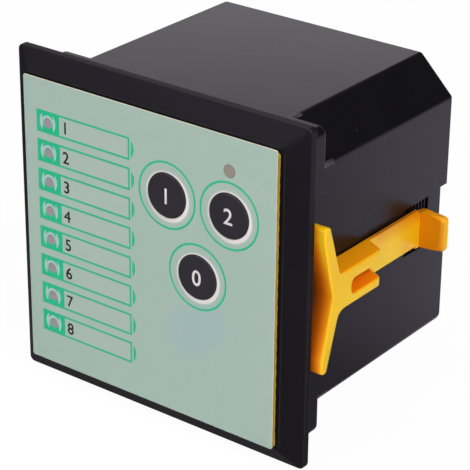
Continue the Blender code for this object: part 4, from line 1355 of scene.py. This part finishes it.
@dataclass
class MountingClips:
    """The two sliding clips that press on the panel's back."""

    panel: Panel
    rounder: Rounder
    inner: float = 44.0
    arm: float = 1.4
    bar_round: float = 0.5
    end_round: float = 0.5
    tab_round: float = 1.4
    inner_round: float = 0.3
    tab_front: float = 51.0
    bar_end: float = 19.0
    bar_back: float = 19.0
    fork_back: float = 30.0

    def build(self) -> list[Object]:
        """Build the clips.

        Returns:
            The new pieces.
        """
        material = AmberPlastic().material(self.panel)
        clips = []
        for side in ("right", "left"):
            clip = self.rounder.copy(f"clip_{side}", f"mounting_clip_{side}", [material], self._rules(),
                                     segments=4)
            self._mark_facing(clip)
            clips.append(clip)
        return clips

    def _mark_facing(self, clip: Object) -> None:
        """Fix the clip's rounded mesh and keep its smooth surface directions for the material.

        Args:
            clip: The clip.
        """
        settle(clip)
        mesh = clip.data
        layer = mesh.attributes.new(FACING_LAYER, "FLOAT_VECTOR", "CORNER")
        for corner, facing in enumerate(mesh.corner_normals):
            layer.data[corner].vector = facing.vector

    def _rules(self) -> Rules:
        """Return the widths of the tab's ends, the face along the wall, and the bar and fork's edges.

        Returns:
            The tests and their widths.
        """
        return ((lambda end: end.y > self.tab_front and abs(end.x) > self.inner + self.arm, self.tab_round),
                (lambda end: self._along_wall(end) and end.y > self.bar_back, 0.0),
                (self._along_wall, self.inner_round),
                (lambda end: abs(end.z) > self.bar_end, self.end_round),
                (lambda end: abs(end.x) > self.inner + NEAR and end.y < self.fork_back, self.bar_round))

    def _along_wall(self, end: Vector) -> bool:
        """Say whether a point lies on the clip's face along the case's wall."""
        return abs(end.x) < self.inner + NEAR


@dataclass
class Innards:
    """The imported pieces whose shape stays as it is, dressed with their finishes."""

    panel: Panel

    def dress(self, nodes: dict[str, Object]) -> int:
        """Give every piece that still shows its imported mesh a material.

        Args:
            nodes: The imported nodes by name.

        Returns:
            How many pieces were dressed.
        """
        finishes = {
            "display_board": SolderMask(),
            "logic_board": SolderMask("logic_lacquer"),
            "relay_board": SolderMask("relay_lacquer"),
            "status_led": PlainPlastic("lamp_epoxy", (190, 170, 166), 0.2),
            "mode_led": PlainPlastic("mode_lamp_epoxy", (200, 190, 170), 0.2),
            "switch_body": PlainPlastic("switch_black", (40, 40, 42)),
            "key_stem": PlainPlastic("stem_grey", (186, 186, 182)),
            "cover_screw": PlatedMetal("cover_screw_zinc"),
            "clamp_screw": PlatedMetal("clamp_screw_zinc"),
            "terminal_header": PlainPlastic("header_green", (26, 112, 62)),
            "relay_": PlainPlastic("relay_black", (34, 38, 46), 0.3),
            "logic_link": PlainPlastic("strip_black", (30, 30, 30)),
            "capacitor": PlainPlastic("sleeve_blue", (30, 42, 78), 0.3),
            "controller_chip": PlainPlastic("chip_epoxy", (34, 34, 36), 0.55),
            "voltage_regulator": PlainPlastic("regulator_epoxy", (32, 32, 34), 0.5),
            "crystal": PlatedMetal("crystal_can", (190, 190, 186), 0.22),
        }
        made = {key: finish.material(self.panel) for key, finish in finishes.items()}
        shown = {name: piece for name, piece in nodes.items() if not piece.hide_render}
        for name, piece in shown.items():
            key = max((start for start in made if name.startswith(start)), key=len)
            piece.data.materials.clear()
            piece.data.materials.append(made[key])
        return len(shown)


class LampKind(Enum):
    """The studio's lamps: place, aim point and edge in metres, and brightness in watts."""

    OVERHEAD = ((-0.25, -0.35, 1.1), (0.0, 0.0, 0.05), 0.7, 7.5)
    RIGHT = ((0.85, -0.45, 0.8), (0.0, 0.0, 0.05), 0.5, 12.5)
    FRONT = ((-0.45, -0.95, 0.55), (0.0, 0.0, 0.05), 0.6, 2.0)
    BACK_PANEL = ((-0.66, 0.83, 0.52), (0.0, 0.0, 0.08), 0.7, 1.2)


@dataclass
class Studio:
    """A pale floor, soft lamps and the camera."""

    panel: Panel
    camera_place: Point = (307.74, -375.11, 236.84)
    azimuth: float = 37.18
    elevation: float = 25.55
    roll: float = 0.593
    focal_pixels: float = 2045.87
    picture_pixels: float = 470.0
    sensor: float = 36.0
    floor_size: float = 6.0
    floor_colour: Colour = (243, 243, 243)
    fill: float = 0.06
    floor_glow: float = 0.965
    sky_glow: float = 0.99
    lamp_tint: Point = (0.98, 0.95, 1.0)
    mirror_base: float = 0.64
    mirror_fade: float = 172.0
    mirror_start: float = 18.0
    mirror_rise: float = 94.0
    mirror_least: float = 0.3
    mirror_tint: Colour = (243, 239, 255)
    surround_side: Pair = (-75.0, -20.0)
    surround_front: Pair = (40.0, 0.0)
    surround_least: float = 0.1

    def build(self) -> None:
        """Set up the floor, the lamps, the world and the camera."""
        self._floor()
        for kind in LampKind:
            self._lamp(kind)
        self._world()
        self._camera()
        bpy.context.scene.view_settings.view_transform = "Standard"

    def _floor(self) -> None:
        """Make the floor, which the camera sees as plain white paper, and which glows in reflections with a
        painted pattern: dim near the controller, brighter further back, and dark far to its left and back.
        """
        shape = bmesh.new()
        bmesh.ops.create_grid(shape, x_segments=1, y_segments=1, size=self.floor_size / 2)
        sheet = NodeSheet("floor_paper", self.panel)
        sheet.set(Base_Color=linear(self.floor_colour), Roughness=0.9, Specular_IOR_Level=0.1)
        seen, mirrored, through = (sheet.node("ShaderNodeLightPath", output=f"Is {ray} Ray")
                                   for ray in ("Camera", "Glossy", "Transmission"))
        seen = seen.most(through)
        across, back, _ = sheet.parts(sheet.place())
        # Painted reflection: what glossy rays see is dimmed near and in front of the controller, and
        # darkened far to its left and back.
        far = self.mirror_base + (back - across) / self.mirror_fade
        level = ((back - self.mirror_start) / self.mirror_rise).least(far).least(1.0).most(self.mirror_least)
        surround = across.ramp(*self.surround_side).most(back.ramp(*self.surround_front))
        painted_reflection = sheet.mixed(level * surround.most(self.surround_least), (0, 0, 0), self.mirror_tint)
        colour = sheet.mixed(seen, painted_reflection, (255, 255, 255))
        paper = sheet.node("ShaderNodeEmission", {}, {"Color": colour})
        share = (seen * self.floor_glow).most(mirrored)
        plain = Wire(sheet, sheet.shader.outputs[0])
        sheet.finish_with(sheet.node("ShaderNodeMixShader", {}, {"Fac": share, 1: plain, 2: paper}))
        floor = new_piece("floor", shape, [sheet.material])

    def _lamp(self, kind: LampKind) -> None:
        """Make one soft square lamp.

        Args:
            kind: Which lamp.
        """
        place, aim, edge, power = kind.value
        name = kind.name.lower()
        light = configured(bpy.data.lights.new(name, "AREA"), shape="SQUARE", size=edge, energy=power,
                           color=self.lamp_tint)
        turn = (Vector(aim) - Vector(place)).to_track_quat("-Z", "Y").to_euler()
        configured(linked(name, light), location=place, rotation_euler=turn)

    def _world(self) -> None:
        """Fill the shadows with an even light, and show the camera a pale background."""
        world = bpy.data.worlds.new("studio_fill")
        bpy.context.scene.world = world
        world.use_nodes = True
        tree = world.node_tree
        background = tree.nodes["Background"]
        background.inputs["Color"].default_value = (1.0, 1.0, 1.0, 1.0)
        path = tree.nodes.new("ShaderNodeLightPath")
        strength = tree.nodes.new("ShaderNodeMapRange")
        strength.inputs["To Min"].default_value = self.fill
        strength.inputs["To Max"].default_value = self.sky_glow
        tree.links.new(path.outputs["Is Camera Ray"], strength.inputs["Value"])
        tree.links.new(strength.outputs["Result"], background.inputs["Strength"])

    def _camera(self) -> None:
        """Place the camera at the photograph's viewing angle."""
        lens = self.sensor * self.focal_pixels / self.picture_pixels
        data = configured(bpy.data.cameras.new("photo_camera"), sensor_fit="HORIZONTAL",
                          sensor_width=self.sensor, lens=lens, clip_start=0.01)
        camera = linked("photo_camera", data)
        turn = (Matrix.Rotation(math.radians(self.azimuth), 4, "Z")
                @ Matrix.Rotation(math.radians(90 - self.elevation), 4, "X")
                @ Matrix.Rotation(math.radians(self.roll), 4, "Z"))
        camera.matrix_world = Matrix.Translation(self.panel.place(*self.camera_place)) @ turn
        bpy.context.scene.camera = camera


def report(pieces: Iterable[Object]) -> None:
    """Log each new piece with its number of faces."""
    for piece in pieces:
        LOG.info("%s: %d faces", piece.name, len(piece.data.polygons))


def main() -> None:
    """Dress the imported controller."""
    logging.basicConfig(level=logging.INFO, format="%(name)s: %(message)s")
    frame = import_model()
    panel = Panel.from_frame(frame)
    rounder = Rounder(panel)
    report(FrontFrame(panel, rounder).build("bezel_plastic"))
    report(Overlay(panel, rounder).build("overlay_print", "adhesive"))
    report(RearHousing(panel, rounder).build())
    report(MountingClips(panel, rounder).build())
    LOG.info("packed pieces dressed: %d", Innards(panel).dress(frame["nodes"]))
    Studio(panel).build()


if __name__ == "__main__":
    main()
